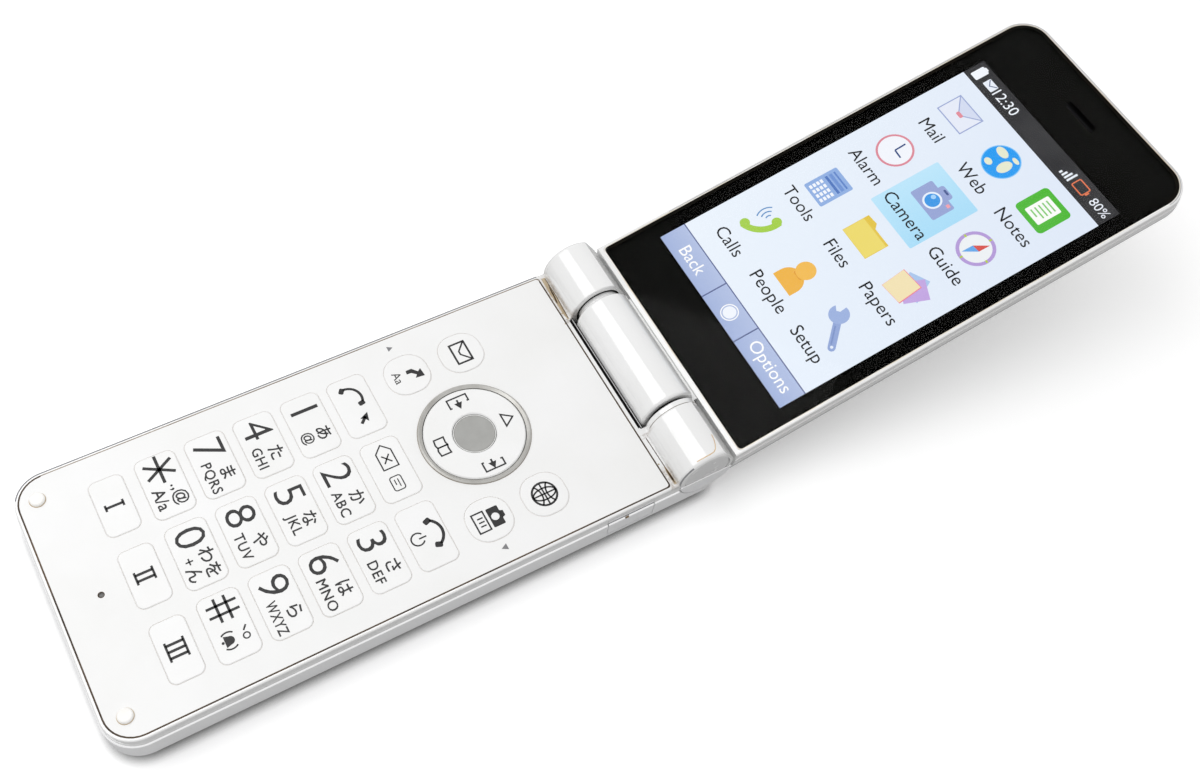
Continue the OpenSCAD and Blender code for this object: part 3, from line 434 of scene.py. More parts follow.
# line of a given width with mitred corners
def stroke(points, width, tint="#000000", level=0, closed=False, rounded=False):
    line = [Vector(p) for p in points]
    count = len(line)
    sides = []
    for i, p in enumerate(line):
        ahead = (line[(i + 1) % count] - p).normalized() if closed or i < count - 1 else None
        behind = (p - line[i - 1]).normalized() if closed or i > 0 else None
        first = behind or ahead
        course = (first + (ahead or behind)).normalized()
        normal = Vector((-course.y, course.x))
        lean = max(0.4, normal.dot(Vector((-first.y, first.x))))  # limit of the mitre
        reach = normal * (width / 2 / lean)
        sides.append((p + reach, p - reach))
    if closed:
        sides.append(sides[0])
    quads = [shape([a[1], b[1], b[0], a[0]], tint, level) for a, b in zip(sides, sides[1:])]
    if rounded:
        quads += disc(*line[0], width / 2, tint, level, 10) + disc(*line[-1], width / 2, tint, level, 10)
    return quads


# letters from Blender's own font, as flat faces about a middle
def letters(text, height, x, y, tint="#000000", level=0, weight=0.0, spread=1.0, width=None, widen=1.0):
    capHeight = 0.69
    data = bpy.data.curves.new("letters", "FONT")
    data.body = text
    data.size = height / capHeight
    data.resolution_u = 3
    data.offset = weight
    data.space_character = spread
    writing = bpy.data.objects.new("letters", data)
    scene.collection.objects.link(writing)
    mesh = writing.evaluated_get(bpy.context.evaluated_depsgraph_get()).to_mesh()
    points = [v.co.copy() for v in mesh.vertices]
    faces = [list(p.vertices) for p in mesh.polygons]
    bpy.data.objects.remove(writing)
    bpy.data.curves.remove(data)
    lows = [min(p[i] for p in points) for i in (0, 1)]
    highs = [max(p[i] for p in points) for i in (0, 1)]
    squeeze = min(widen, width / (highs[0] - lows[0])) if width else widen
    middle = [(lows[i] + highs[i]) / 2 for i in (0, 1)]
    at = [(x + (p.x - middle[0]) * squeeze, y + p.y - middle[1]) for p in points]
    return [shape([at[i] for i in f], tint, level) for f in faces]


def moved(shapes, x=0.0, y=0.0, turn=0.0, size=1.0):
    c, s = math.cos(math.radians(turn)) * size, math.sin(math.radians(turn)) * size

    def at(loop):
        return [(x + p[0] * c - p[1] * s, y + p[0] * s + p[1] * c) for p in loop]
    return [{**each, "loop": at(each["loop"]), "holes": [at(h) for h in each["holes"]]} for each in shapes]


def ringShapes(inner, outer):
    return [shape([inner[i - 1], outer[i - 1], outer[i], inner[i]]) for i in range(len(inner))]


# places and boxes of nodes in millimetres
def lift(z, x=0.0, y=0.0):
    return Matrix.Translation((x * mm, y * mm, z * mm))


def boxOf(node):
    return [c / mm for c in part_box(node)]


# a finished mesh becomes a piece that rides on a body
def addPiece(name, mesh, body, material):
    data = bpy.data.meshes.new(name)
    mesh.to_mesh(data)
    mesh.free()
    data.materials.append(material)
    piece = bpy.data.objects.new(name, data)
    scene.collection.objects.link(piece)
    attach(piece, body)
    return piece


# thin closed prints from flat shapes: level 0 is the plane of place, and each level lies a step higher
printLook = {"deep": 0.03, "film": 0.006, "weld": 0.0004}


def layShapes(name, shapes, place, material, depth=printLook["deep"], body="keypad_half", step=0.0):
    mesh = bmesh.new()
    tintLayer = mesh.loops.layers.float_color.new("tint")
    for each in shapes:
        z = each["level"] * step
        loops = []
        for loop in [each["loop"], *each["holes"]]:
            loops.append([mesh.verts.new((p[0] * mm, p[1] * mm, z * mm)) for p in loop])
        if each["holes"]:
            edges = [mesh.edges.new((loop[i - 1], loop[i])) for loop in loops for i in range(len(loop))]
            filled = bmesh.ops.triangle_fill(mesh, edges=edges, use_beauty=True, normal=(0, 0, 1))
            faces = [g for g in filled["geom"] if isinstance(g, bmesh.types.BMFace)]
        else:
            faces = [mesh.faces.new(loops[0])]
        tints = each["tint"] if isinstance(each["tint"], list) else [each["tint"]]
        for face in faces:
            for i, corner in enumerate(face.loops):
                corner[tintLayer] = hexColour(tints[i % len(tints)])
    bmesh.ops.remove_doubles(mesh, verts=mesh.verts[:], dist=printLook["weld"] * mm)
    bmesh.ops.recalc_face_normals(mesh, faces=mesh.faces[:])
    for face in mesh.faces:
        if face.normal.z < 0:
            face.normal_flip()
    grown = bmesh.ops.extrude_face_region(mesh, geom=mesh.faces[:], use_keep_orig=True)["geom"]
    lower = [g for g in grown if isinstance(g, bmesh.types.BMVert)]
    bmesh.ops.translate(mesh, verts=lower, vec=(0, 0, -depth * mm))
    for face in grown:
        if isinstance(face, bmesh.types.BMFace):
            face.normal_flip()
    mesh.transform(place)
    addPiece(name, mesh, body, material)


# solid through rows of points, each row a closed section
def loft(rows):
    mesh = bmesh.new()
    rows = [[mesh.verts.new(Vector(p) * mm) for p in row] for row in rows]
    for a, b in zip(rows, rows[1:]):
        for i in range(len(a)):
            mesh.faces.new((a[i - 1], a[i], b[i], b[i - 1]))
    mesh.faces.new(rows[0])
    mesh.faces.new(rows[-1])
    bmesh.ops.remove_doubles(mesh, verts=mesh.verts[:], dist=printLook["weld"] * mm)
    bmesh.ops.recalc_face_normals(mesh, faces=mesh.faces[:])
    return mesh


# ribbon along points that lie on a surface, each with its normal, sunk a little into it
def layRibbon(name, points, width, material, proud, sink=0.05, body="keypad_half"):
    rows = []
    for i, (at, normal) in enumerate(points):
        at, normal = Vector(at), Vector(normal).normalized()
        course = Vector(points[min(i + 1, len(points) - 1)][0]) - Vector(points[max(i - 1, 0)][0])
        across = normal.cross(course).normalized() * (width / 2)
        up, down = at + normal * proud, at - normal * sink
        rows.append((up + across, up - across, down - across, down + across))
    addPiece(name, loft(rows), body, material)


# printed signs on the keys
inkLook = {
    "name": "signInk", "colour": "#101011", "shade": "#19191A", "toneScale": 1500.0,
    "rough": (0.4, 0.55), "roughScale": 2000.0, "grainScale": 16000.0, "grainDepth": 0.0006,
}
signLook = {
    "thick": 0.03, "sink": 0.012, "step": 0.004,
    "digit": 5.1, "digitX": -3.1, "digitY": 0.15, "digitWeight": -0.065, "digitWiden": 1.12,
    "letter": 1.7, "letterX": 2.35, "letterY": -1.55, "letterWeight": 0.03, "letterSpread": 1.1,
    "wordWidth": 6.2, "boldShift": 0.04, "kana": 2.05, "kanaY": 1.45, "kanaWeight": 0.04,
}
ink = makeFinish(inkLook)
dialSigns = {
    "key_1": ("1", "あ", "@"), "key_2": ("2", "か", "ABC"), "key_3": ("3", "さ", "DEF"),
    "key_4": ("4", "た", "GHI"), "key_5": ("5", "な", "JKL"), "key_6": ("6", "は", "MNO"),
    "key_7": ("7", "ま", "PQRS"), "key_8": ("8", "や", "TUV"), "key_9": ("9", "ら", "WXYZ"),
    "key_0": ("0", "わを", ""),
}


def dialSign(digit, kana, word):
    x, y, kanaWeight = signLook["letterX"], signLook["letterY"], signLook["kanaWeight"]
    made = letters(digit, signLook["digit"], signLook["digitX"], signLook["digitY"],
                   weight=signLook["digitWeight"], widen=signLook["digitWiden"])
    made += letters(kana, signLook["kana"], x, signLook["kanaY"], weight=kanaWeight)
    if word:
        return made + boldWord(word, signLook["letter"], x, y)
    made += stroke([(0.35, y), (1.6, y)], 0.25) + stroke([(0.975, -2.18), (0.975, -0.92)], 0.25)
    return made + letters("ん", signLook["kana"], 3.5, y, weight=kanaWeight)


# small bold words; an M can't be swollen, so its word is laid twice with a small shift
def boldWord(word, height, x, y):
    fit = {"width": signLook["wordWidth"], "spread": signLook["letterSpread"]}
    if "M" not in word:
        return letters(word, height, x, y, weight=signLook["letterWeight"], **fit)
    shift = signLook["boldShift"]
    return letters(word, height, x - shift, y, **fit) + letters(word, height, x + shift, y, level=1, **fit)


def starSign():
    made = []
    for turn in (0, 60, 120):
        made += moved(stroke([(-2.75, 0), (2.75, 0)], 0.54), signLook["digitX"], signLook["digitY"], turn)
    made += letters(".,@", 2.0, 2.5, 1.5, weight=0.03, spread=1.05)
    return made + letters("A/a", 2.05, 2.4, -1.5, weight=0.03)


def hashSign():
    made = []
    x, y = signLook["digitX"], signLook["digitY"]
    for side in (-0.85, 0.85):
        made += stroke([(x + side, y - 2.5), (x + side, y + 2.5)], 0.46)
        made += stroke([(x - 2.2, y + side), (x + 2.2, y + side)], 0.46)
    made += stroke([(0.95, 2.35), (1.75, 1.7)], 0.28)
    made += stroke(circle(2.75, 1.85, 0.52, 24), 0.23, closed=True)
    # bell between two waves: quiet mode
    made += moved([shape(arc(0, 0.1, 0.75, 0, 180, 10) + [(-1.0, -0.75), (1.0, -0.75)])], 2.4, -0.9)
    made += disc(2.4, -1.95, 0.24)
    for side in (0, 180):
        made += stroke(arc(2.4, -0.9, 1.5, side - 40, side + 40, 8), 0.27)
    return made


# serif numerals on the three memory keys
def romanSign(count):
    height, pitch = 2.9, 1.12
    wide = (count - 1) * pitch
    made = []
    for i in range(count):
        x = i * pitch - wide / 2
        made += stroke([(x, -height / 2), (x, height / 2)], 0.47)
    for y in (-height / 2, height / 2):
        made += stroke([(-wide / 2 - 0.62, y), (wide / 2 + 0.62, y)], 0.38)
    return made


# telephone receiver as an arch with two end pads
def handset(size):
    made = stroke(arc(0, -1.6, 2.6, 32, 148, 18), 0.5)
    for side in (-1, 1):
        made += moved(box(-0.48, -0.9, 0.48, 0.35, r=0.28), side * 2.35, -0.35, side * -22)
    return moved(made, size=size)


def callSign():
    made = moved(handset(0.95), -2.3, 0.4, 32)
    pointer = [shape([(0, 0), (0.55, -1.75), (0.95, -1.05), (1.75, -0.65)])]
    pointer += stroke([(0.6, -0.7), (1.55, -2.0)], 0.55)
    return made + moved(pointer, 1.9, 1.1, 8)


# erase pictogram and a memo box
def clearSign():
    made = stroke([(-5.0, 0.2), (-3.6, 1.6), (-0.2, 1.6), (-0.2, -1.2), (-3.6, -1.2)], 0.24, closed=True)
    made += stroke([(-2.9, 0.9), (-1.3, -0.5)], 0.26) + stroke([(-2.9, -0.5), (-1.3, 0.9)], 0.26)
    made += stroke(roundLoop(1.5, -1.1, 4.3, 0.9, 0.45), 0.2, closed=True)
    return made + stroke([(2.1, 0.2), (3.7, 0.2)], 0.18) + stroke([(2.1, -0.4), (3.2, -0.4)], 0.18)


def endSign():
    made = moved(handset(1.05), 0.0, 1.75)
    made += stroke(arc(0, -1.65, 1.15, 125, 415, 22), 0.27)
    return made + stroke([(0, -1.45), (0, -0.1)], 0.27)


def mailSign():
    made = stroke([(-2.1, -1.42), (2.1, -1.42), (2.1, 1.42), (-2.1, 1.42)], 0.36, closed=True)
    return made + stroke([(-2.0, 1.3), (-0.35, -0.25), (0.35, -0.25), (2.0, 1.3)], 0.3)


def webSign():
    made = stroke(circle(0, 0, 2.2, 36), 0.38, closed=True)
    made += stroke([(0, -2.1), (0, 2.1)], 0.29) + stroke([(-2.1, 0), (2.1, 0)], 0.29)
    made += stroke(oval(0, 0, 1.1, 2.1), 0.29, closed=True)
    for side in (-1, 1):
        made += stroke(arc(0, side * 3.35, 2.85, -side * 90 - 42, -side * 90 + 42, 12), 0.29)
    return made


# pointing arrow above a pair of plain letters
def contactsSign():
    made = [shape([(-0.2, 2.6), (1.5, 2.75), (1.3, 1.05), (0.75, 1.55), (0.05, 0.75), (0.0, -0.1),
                   (-0.75, 0.0), (-0.75, 1.1), (0.25, 2.0)])]
    return made + letters("Aa", 1.55, 0.0, -1.9)


# camera above a ruled book
def cameraSign():
    body = roundLoop(-1.85, 0.1, 1.85, 2.25, 0.2)
    made = [shape(body, holes=[oval(0, 1.15, 0.72, 0.72, 20)])]
    made += [shape([(-0.75, 2.2), (-0.5, 2.8), (0.5, 2.8), (0.75, 2.2)])]
    made += stroke([(-1.85, -2.6), (1.85, -2.6), (1.85, -0.5), (-1.85, -0.5)], 0.28, closed=True)
    for x in (-0.75, 0.0, 0.75):
        made += stroke([(x, -1.95), (x, -0.9)], 0.26)
    return made


# ring key: triangle, two boxes with arrows, open book
def ringSign():
    line = 0.29
    made = moved(stroke([(-1.3, -0.85), (1.3, -0.85), (0, 1.0)], line, closed=True), 0, 6.55)
    course = [(0.1, 1.6), (0.1, 1.95), (-1.25, 1.95), (-1.25, -1.75), (0.55, -1.75), (0.55, -1.4)]
    tray = stroke(course, line)
    arrow = [shape([(-0.1, 0.75), (1.25, 0.0), (-0.1, -0.75)])] + stroke([(-0.7, 0), (0, 0)], 0.35)
    made += moved(tray + arrow, -6.6, 0.1)
    both = tray + moved(arrow, turn=180)
    mirrored = [{**s, "loop": [(-p[0], p[1]) for p in s["loop"]]} for s in both]
    made += moved(mirrored, 6.6, 0.1)
    for side in (-1, 1):
        outer = [(0.6, -0.95), (1.65, -0.8), (1.65, 1.05), (0.6, 0.95)]
        page = [(0, -0.75), *((side * x, y) for x, y in outer), (0, 1.1)]
        made += moved(stroke(page, line, closed=True), 0, -6.4)
    return made


keySigns = {key: dialSign(*sign) for key, sign in dialSigns.items()}
keySigns.update({
    "key_star": starSign(), "key_hash": hashSign(), "key_call": callSign(), "key_clear": clearSign(),
    "key_end": endSign(), "key_mail": mailSign(), "key_web": webSign(), "key_contacts": contactsSign(),
    "key_camera": cameraSign(), "nav_ring_key": ringSign(),
})
keySigns.update({"key_memory_" + str(i): romanSign(i) for i in (1, 2, 3)})
bodyOfNode = {n: body for body, members in record["behaviour"]["bodies"].items() for n in members}
for key, shapes in keySigns.items():
    low, high = boxOf(key)
    place = lift(high.z + signLook["thick"] - signLook["sink"], (low.x + high.x) / 2, (low.y + high.y) / 2)
    layShapes("sign_" + key, shapes, place, ink, signLook["thick"], bodyOfNode[key],
              signLook["step"])
print("signs on", len(keySigns), "keys")


# pale hairline round each key: the edge of the key sheet, just below the panel
filmLook = {
    "name": "keySheetEdge", "colour": "#EAE7E4", "shade": "#DFDAD5", "toneScale": 300.0,
    "rough": (0.5, 0.6), "roughScale": 900.0, "grainScale": 9000.0, "grainDepth": 0.001,
}
gapLook = {
    "gap": 0.12, "flange": 0.5, "clear": 0.012, "drop": 0.05, "deep": 0.12,
    "round": {"key_mail": 3.4, "key_web": 3.4, "key_contacts": 3.4, "key_camera": 3.4,
              "key_memory_1": 1.3, "key_memory_2": 1.3, "key_memory_3": 1.3}, "dialRound": 1.4,
}


def layGaps():
    rings = []
    for key in keySigns:
        if key == "nav_ring_key":
            continue
        low, high = boxOf(key)
        r = gapLook["round"].get(key, gapLook["dialRound"])
        loops = []
        for grow in (gapLook["clear"], gapLook["gap"] - gapLook["clear"]):
            edge = gapLook["flange"] - grow
            x0, y0, x1, y1 = low.x + edge, low.y + edge, high.x - edge, high.y - edge
            loops.append(roundLoop(x0, y0, x1, y1, r + grow, steps=8))
        rings += ringShapes(*loops)
    place = lift(boxOf("keypad_panel")[1].z - gapLook["drop"])
    layShapes("key_sheet_edges", rings, place, makeFinish(filmLook), gapLook["deep"])


layGaps()


# brown dirt packed in the seam round the keypad panel, and pale dirt in the one round the glass
seamLook = {
    "name": "seamDirt", "colour": "#2A1E12", "shade": "#5A4630", "toneScale": 160.0,
    "rough": (0.6, 0.8), "roughScale": 2000.0,
}
paleSeamLook = {
    "name": "paleSeamDirt", "colour": "#6E5B43", "shade": "#A89C8E", "toneScale": 160.0,
    "rough": (0.6, 0.8), "roughScale": 2000.0,
}
glassSeamLook = {
    "name": "glassSeam", "colour": "#FBFAF8", "shade": "#DCCFB6", "toneScale": 110.0,
    "rough": (0.5, 0.7), "roughScale": 2000.0,
}
seamSize = {
    "seam": 0.2, "clear": 0.005, "drop": 0.03, "deep": 0.35, "spill": -0.08, "panelRound": 5.0,
    "panelBackRound": 0.6, "glassRound": 5.3, "glassStartRound": 0.8, "paleX": -20.0, "paleY": -42.0,
}
seamDirt = makeFinish(seamLook)


def seamRing(x, y0, y1, r0, r1, inner):
    loops = []
    for grow in (inner, seamSize["seam"] - seamSize["clear"]):
        loops.append(roundLoop(-x - grow, y0 - grow, x + grow, y1 + grow, r0 + grow, r1 + grow, 8))
    return ringShapes(*loops)


def laySeams():
    low, high = boxOf("keypad_panel")
    sizes = (high.x, low.y, high.y, seamSize["panelRound"], seamSize["panelBackRound"])

    def isPale(each):
        xs, ys = zip(*each["loop"])
        return max(xs) < seamSize["paleX"] and max(ys) > seamSize["paleY"]
    dark = [s for s in seamRing(*sizes, seamSize["spill"]) if not isPale(s)]
    place = lift(high.z + printLook["film"])
    layShapes("panel_seam_dirt", dark, place, seamDirt, seamSize["deep"])
    pale = [s for s in seamRing(*sizes, seamSize["clear"]) if isPale(s)]
    place = lift(high.z - seamSize["drop"])
    layShapes("panel_seam_pale", pale, place, makeFinish(paleSeamLook), seamSize["deep"])


laySeams()


# dirt on the hinge: a curved line on the right knuckle, and packed dirt where the knuckles meet the case
hingeLook = {"axisY": 53.7, "axisZ": 9.1, "knuckle": 5.8, "barrel": 5.5, "collar": 5.1, "caseTop": 8.8}
tanLook = {
    "name": "tanLine", "colour": "#C79F68", "shade": "#DDC29A", "toneScale": 700.0, "rough": (0.5, 0.7),
    "roughScale": 2000.0,
}
packedLook = {
    "name": "packedDirt", "colour": "#7E6238", "shade": "#D2C3A8", "toneScale": 1100.0,
    "stretch": (0.22, 1, 1), "rough": (0.7, 0.85), "roughScale": 2000.0,
}
darkDirtLook = {
    "name": "darkDirt", "colour": "#1E140A", "shade": "#4A3820", "toneScale": 900.0,
    "stretch": (0.3, 1, 1), "rough": (0.7, 0.85), "roughScale": 2000.0,
}


def onHinge(x, angle, r):
    a = math.radians(angle)
    normal = (0, math.sin(a), math.cos(a))
    return (x, hingeLook["axisY"] + r * normal[1], hingeLook["axisZ"] + r * normal[2]), normal


dirtSize = {
    "line": 0.17, "lineSteps": 8, "lineFilm": 0.004, "film": 0.008, "darkFilm": 0.014, "left": 0.12,
    "right": 0.15,
}


def layHingeDirt():
    line = [(24.55, -28), (24.6, -14), (24.6, -2), (24.45, 7), (24.0, 13), (23.2, 18), (22.2, 22),
            (21.0, 24.5)]  # x and angle
    steps = dirtSize["lineSteps"]
    points = []
    for (x0, a0), (x1, a1) in zip(line, line[1:]):
        for i in range(steps):
            x, angle = x0 + (x1 - x0) * i / steps, a0 + (a1 - a0) * i / steps
            points.append(onHinge(x, angle, hingeLook["knuckle"]))
    layRibbon("knuckle_dirt_line", points, dirtSize["line"], makeFinish(tanLook),
              dirtSize["lineFilm"])
    smear = [shape([(-24.2, 47.05), (-20.6, 46.88), (-18.5, 46.98), (-15.5, 46.98), (-14.0, 47.2),
                    (-14.0, 47.5), (-19.2, 47.85), (-24.2, 47.85)])]
    smear += [shape([(20.6, 47.5), (22.0, 47.3), (24.6, 47.35), (24.6, 47.85), (22.0, 47.8),
                     (20.6, 47.64)])]
    for x, y, r in ((-15.6, 46.84, 0.16), (-13.3, 46.3, 0.12), (19.9, 46.86, 0.17)):
        smear += disc(x, y, r, steps=9)
    place = lift(hingeLook["caseTop"] + dirtSize["film"])
    layShapes("knuckle_base_dirt", smear, place, makeFinish(packedLook))
    dark = [shape([(-22.6, 47.66), (-21.1, 47.34), (-19.5, 47.24), (-18.3, 47.04), (-17.9, 47.2),
                   (-18.8, 47.42), (-20.2, 47.6)])]
    dark += stroke([(-24.0, 47.76), (-19.2, 47.74), (-14.2, 47.42)], dirtSize["left"])
    dark += stroke([(14.4, 47.52), (20.8, 47.58)], dirtSize["right"])
    dark += [shape([(20.8, 47.52), (22.2, 47.44), (23.4, 47.4), (24.4, 47.56), (23.4, 47.78),
                    (22.0, 47.66)])]
    place = lift(hingeLook["caseTop"] + dirtSize["darkFilm"])
    layShapes("knuckle_dark_dirt", dark, place, makeFinish(darkDirtLook))


layHingeDirt()


# faint mould lines along the knuckles and the middle barrel, and painted shade in the groove between collar and
# knuckle
mouldLook = {
    "name": "mouldLine", "colour": "#D6D6D7", "shade": "#DEDEDE", "toneScale": 200.0,
    "rough": (0.4, 0.5), "roughScale": 900.0, "width": 0.07, "film": 0.003,
}
grooveLook = {
    "name": "grooveShade", "colour": "#6E675D", "shade": "#8A8378", "toneScale": 300.0,
    "rough": (0.6, 0.7), "roughScale": 900.0, "x": 13.36, "width": 0.12, "start": -80, "end": 85,
    "film": 0.004,
}


def layHingeLines():
    finish = makeFinish(mouldLook)
    lines = {  # x from, x to, angle, radius, body
        "left": (-24.8, -14.2, -68, "knuckle", "keypad_half"),
        "right": (14.0, 24.8, -68, "knuckle", "keypad_half"),
        "barrel": (-11.9, 10.9, -64, "barrel", "lid"),
    }
    for name, (x0, x1, angle, radius, body) in lines.items():
        row = [onHinge(x, angle, hingeLook[radius]) for x in (x0, x1)]
        layRibbon("mould_line_" + name, row, mouldLook["width"], finish, mouldLook["film"],
                  body=body)
    angles = range(grooveLook["start"], grooveLook["end"], 5)
    row = [onHinge(grooveLook["x"], angle, hingeLook["collar"]) for angle in angles]
    layRibbon("collar_groove_shade", row, grooveLook["width"], makeFinish(grooveLook),
              grooveLook["film"])


layHingeLines()


# painted shade: grey curve on the rounded end of the right knuckle
endShadeLook = {
    "name": "knuckleEndShade", "colour": "#6F7073", "shade": "#9A9B9D", "toneScale": 250.0,
    "rough": (0.3, 0.4), "roughScale": 600.0, "x": 25.166, "r": 5.566, "start": -100, "end": -38,
    "width": 0.3,
}


def layEndShade():
    row = []
    for angle in range(endShadeLook["start"], endShadeLook["end"], 2):
        at, normal = onHinge(endShadeLook["x"], angle, endShadeLook["r"])
        row.append((at, (1.0, normal[1], normal[2])))
    layRibbon("knuckle_end_shade", row, endShadeLook["width"], makeFinish(endShadeLook),
              printLook["film"])


layEndShade()


# painted shade inside the hinge: a black sheet on the slot's wall, a black sheet over it with a thin grey lip,
# and a black strip that draws the slot's front edge wider, and black rings in the gaps beside the barrel
slotLook = {
    "x0": -13.8, "x1": 12.2, "shadeWall": 6.06, "start": -94.0, "end": -150.0, "steps": 14, "shadeWallDeep": 0.03,
    "shadeTopY0": 47.58, "shadeTopY1": 48.17, "shadeTop": 8.7, "shadeTopDeep": 0.5,
    "edgeY0": 47.3, "edgeY1": 47.64, "edgeInset": 0.15, "edgeRound": 0.12, "edgeFilm": 0.01,
    "lipY": 47.93, "lipTop": 8.75, "lipWidth": 0.16, "lipDeep": 0.4, "lipInset": 0.1,
}
gapShadeRings = {  # x from, x to, two radii
    "left": (-13.89, -13.83, 4.3, 4.62), "right": (11.68, 12.24, 4.0, 4.2),
}
# painted shade: flat black for the slot, its front edge and the gaps beside the barrel
slotShadeLook = {
    "name": "slotPaintedShade", "colour": "#060606", "shade": "#0B0B0B", "toneScale": 300.0,
    "rough": (0.8, 0.9), "roughScale": 600.0, "sockets": {"Specular IOR Level": 0.1},
}
lipFinishLook = {
    "name": "slotLipGrey", "colour": "#C9C9C9", "shade": "#BDBDBD", "toneScale": 200.0,
    "rough": (0.4, 0.5), "roughScale": 600.0,
}


def laySlot():
    black = makeFinish(slotShadeLook)
    x0, x1 = slotLook["x0"], slotLook["x1"]
    rows = []
    for i in range(slotLook["steps"] + 1):
        angle = slotLook["start"] + (slotLook["end"] - slotLook["start"]) * i / slotLook["steps"]
        at, normal = onHinge((x0 + x1) / 2, angle, slotLook["shadeWall"])
        rows.append((at, [-c for c in normal]))
    layRibbon("slot_shade_wall", rows, x1 - x0, black, 0.0, slotLook["shadeWallDeep"])
    y0, y1 = slotLook["shadeTopY0"], slotLook["shadeTopY1"]
    topShade = [((x, (y0 + y1) / 2, slotLook["shadeTop"]), (0, 0, 1)) for x in (x0, x1)]
    layRibbon("slot_shade_top", topShade, y1 - y0, black, 0.0, slotLook["shadeTopDeep"])
    inset = slotLook["edgeInset"]
    edge = box(x0 + inset, slotLook["edgeY0"], x1 - inset, slotLook["edgeY1"], r=slotLook["edgeRound"])
    layShapes("slot_edge_shade", edge, lift(hingeLook["caseTop"] + slotLook["edgeFilm"]), black)
    inset = slotLook["lipInset"]
    lip = [((x, slotLook["lipY"], slotLook["lipTop"]), (0, 0, 1)) for x in (x0 + inset, x1 - inset)]
    layRibbon("slot_lip", lip, slotLook["lipWidth"], makeFinish(lipFinishLook), 0.0,
              slotLook["lipDeep"])
    turn = Matrix.Rotation(math.radians(90), 4, "Y")
    for name, (low, high, inner, outer) in gapShadeRings.items():
        ring = ringShapes(*(circle(0, 0, r, 48) for r in (inner, outer)))
        place = lift(hingeLook["axisZ"], high, hingeLook["axisY"]) @ turn
        layShapes("barrel_gap_shade_" + name, ring, place, black, high - low)


laySlot()


# pale ring in the gap round the centre key, a dark brownish line round the trim ring, and dirt round the bumper
# pads
centreGapLook = {
    "name": "centreGap", "colour": "#F3F3F1", "shade": "#EDEDEB", "toneScale": 300.0,
    "rough": (0.5, 0.6), "roughScale": 900.0, "inner": 3.66, "outer": 3.77, "drop": 0.06, "deep": 0.12,
}
padRimLook = {
    "name": "padRimDirt", "colour": "#AE9263", "shade": "#D8CBB6", "toneScale": 500.0,
    "rough": (0.6, 0.7), "roughScale": 900.0, "inner": 1.2, "outer": 1.38, "x": 20.5, "y": -49.55,
    "film": 0.008,
}
trimEdgeLineLook = {
    "name": "trimEdgeDarkLine", "colour": "#85796A", "shade": "#A89F94", "toneScale": 300.0,
    "rough": (0.6, 0.7), "roughScale": 900.0, "inner": 9.97, "outer": 10.1, "film": 0.006,
}


def layRims():
    low, high = boxOf("center_key")
    x, y = (low.x + high.x) / 2, (low.y + high.y) / 2

    def rim(look, steps, x=0.0, y=0.0):
        return ringShapes(*(circle(x, y, look[side], steps) for side in ("inner", "outer")))
    place = lift(high.z - centreGapLook["drop"], x, y)
    layShapes("centre_gap_ring", rim(centreGapLook, 64), place, makeFinish(centreGapLook),
              centreGapLook["deep"], "center_key")
    top = boxOf("keypad_panel")[1].z
    place = lift(top + trimEdgeLineLook["film"], x, y)
    layShapes("trim_edge_dark_line", rim(trimEdgeLineLook, 96), place, makeFinish(trimEdgeLineLook))
    rims = [s for side in (-1, 1) for s in rim(padRimLook, 30, side * padRimLook["x"], padRimLook["y"])]
    layShapes("pad_rim_dirt", rims, lift(top + padRimLook["film"]), makeFinish(padRimLook))


layRims()


# painted highlight as a bright mirror line on the lower case's shoulder, thin walls before the ends of the hinge,
# painted shade as grey lines along the rims and as black film along the glass's edge
# painted highlight: a mirror-bright finish for lines along edges that catch the light
edgeLook = {
    "name": "paintedEdgeHighlight", "colour": "#FBFBFB", "shade": "#F3F3F3", "toneScale": 80.0,
    "rough": (0.14, 0.2), "roughScale": 200.0, "sockets": {"Metallic": 1.0}, "x": 25.35, "y": -53.55,
    "z": 6.5, "round": 5.85, "width": 0.3, "lean": 0.75, "hingeY": 48.3, "portY0": 33.6, "portY1": 43.2,
}
# painted shade: grey line along the outer edge of the case's rim
rimShadeLook = {
    "name": "rimPaintedShade", "colour": "#5E5F64", "shade": "#74757A", "toneScale": 90.0, "rough": (0.4, 0.5),
    "roughScale": 500.0, "inset": 0.15, "width": 0.2, "film": 0.006, "deep": 0.16, "lidLap": 0.7,
    "lidEnd": 5.5, "lidInset": 0.4, "lidWidth": 0.13, "rim": 0.5, "lidLine": 85.0, "lidDeep": 0.05,
}
# painted shade along the lid's rim
lidRimShadeLook = {
    "name": "lidRimPaintedShade", "colour": "#9C9DA1", "shade": "#ACADB0", "toneScale": 90.0,
    "rough": (0.4, 0.5), "roughScale": 500.0,
}
# painted shade: black film over the glass's left and far edges
glassEdgeShadeLook = {
    "name": "glassEdgePaintedShade", "colour": "#161614", "shade": "#1B1713", "toneScale": 200.0,
    "rough": (0.5, 0.6), "roughScale": 500.0, "sockets": {"Specular IOR Level": 0.0},
}
cheekLook = {
    "x": 25.41, "thick": 0.08, "round": 5.65, "top": 7.6, "line": 0.22, "lineX": 25.43, "lineLean": 1.33,
    "lineInset": 0.1,
}


# port cover with its upper part set back behind the case's shoulder, and a nail notch in the sloped edge
coverLook = {
    "set": 0.28, "foot": 0.45, "footSteps": 10, "y0": 33.8, "y1": 43.0, "notchY0": 37.1, "notchY1": 37.9,
    "notch": 0.3, "seam": 0.34, "dirt": 0.3,
}
coverSeamLook = {
    "name": "coverSeam", "colour": "#6A6B6F", "shade": "#7C7D81", "toneScale": 300.0,
    "rough": (0.5, 0.6), "roughScale": 500.0, "sockets": {"Specular IOR Level": 0.1},
}
notchLook = {
    "name": "notchDirt", "colour": "#3F2E1C", "shade": "#A98A60", "toneScale": 1400.0,
    "rough": (0.6, 0.7), "roughScale": 2000.0, "sockets": {"Specular IOR Level": 0.1},
}


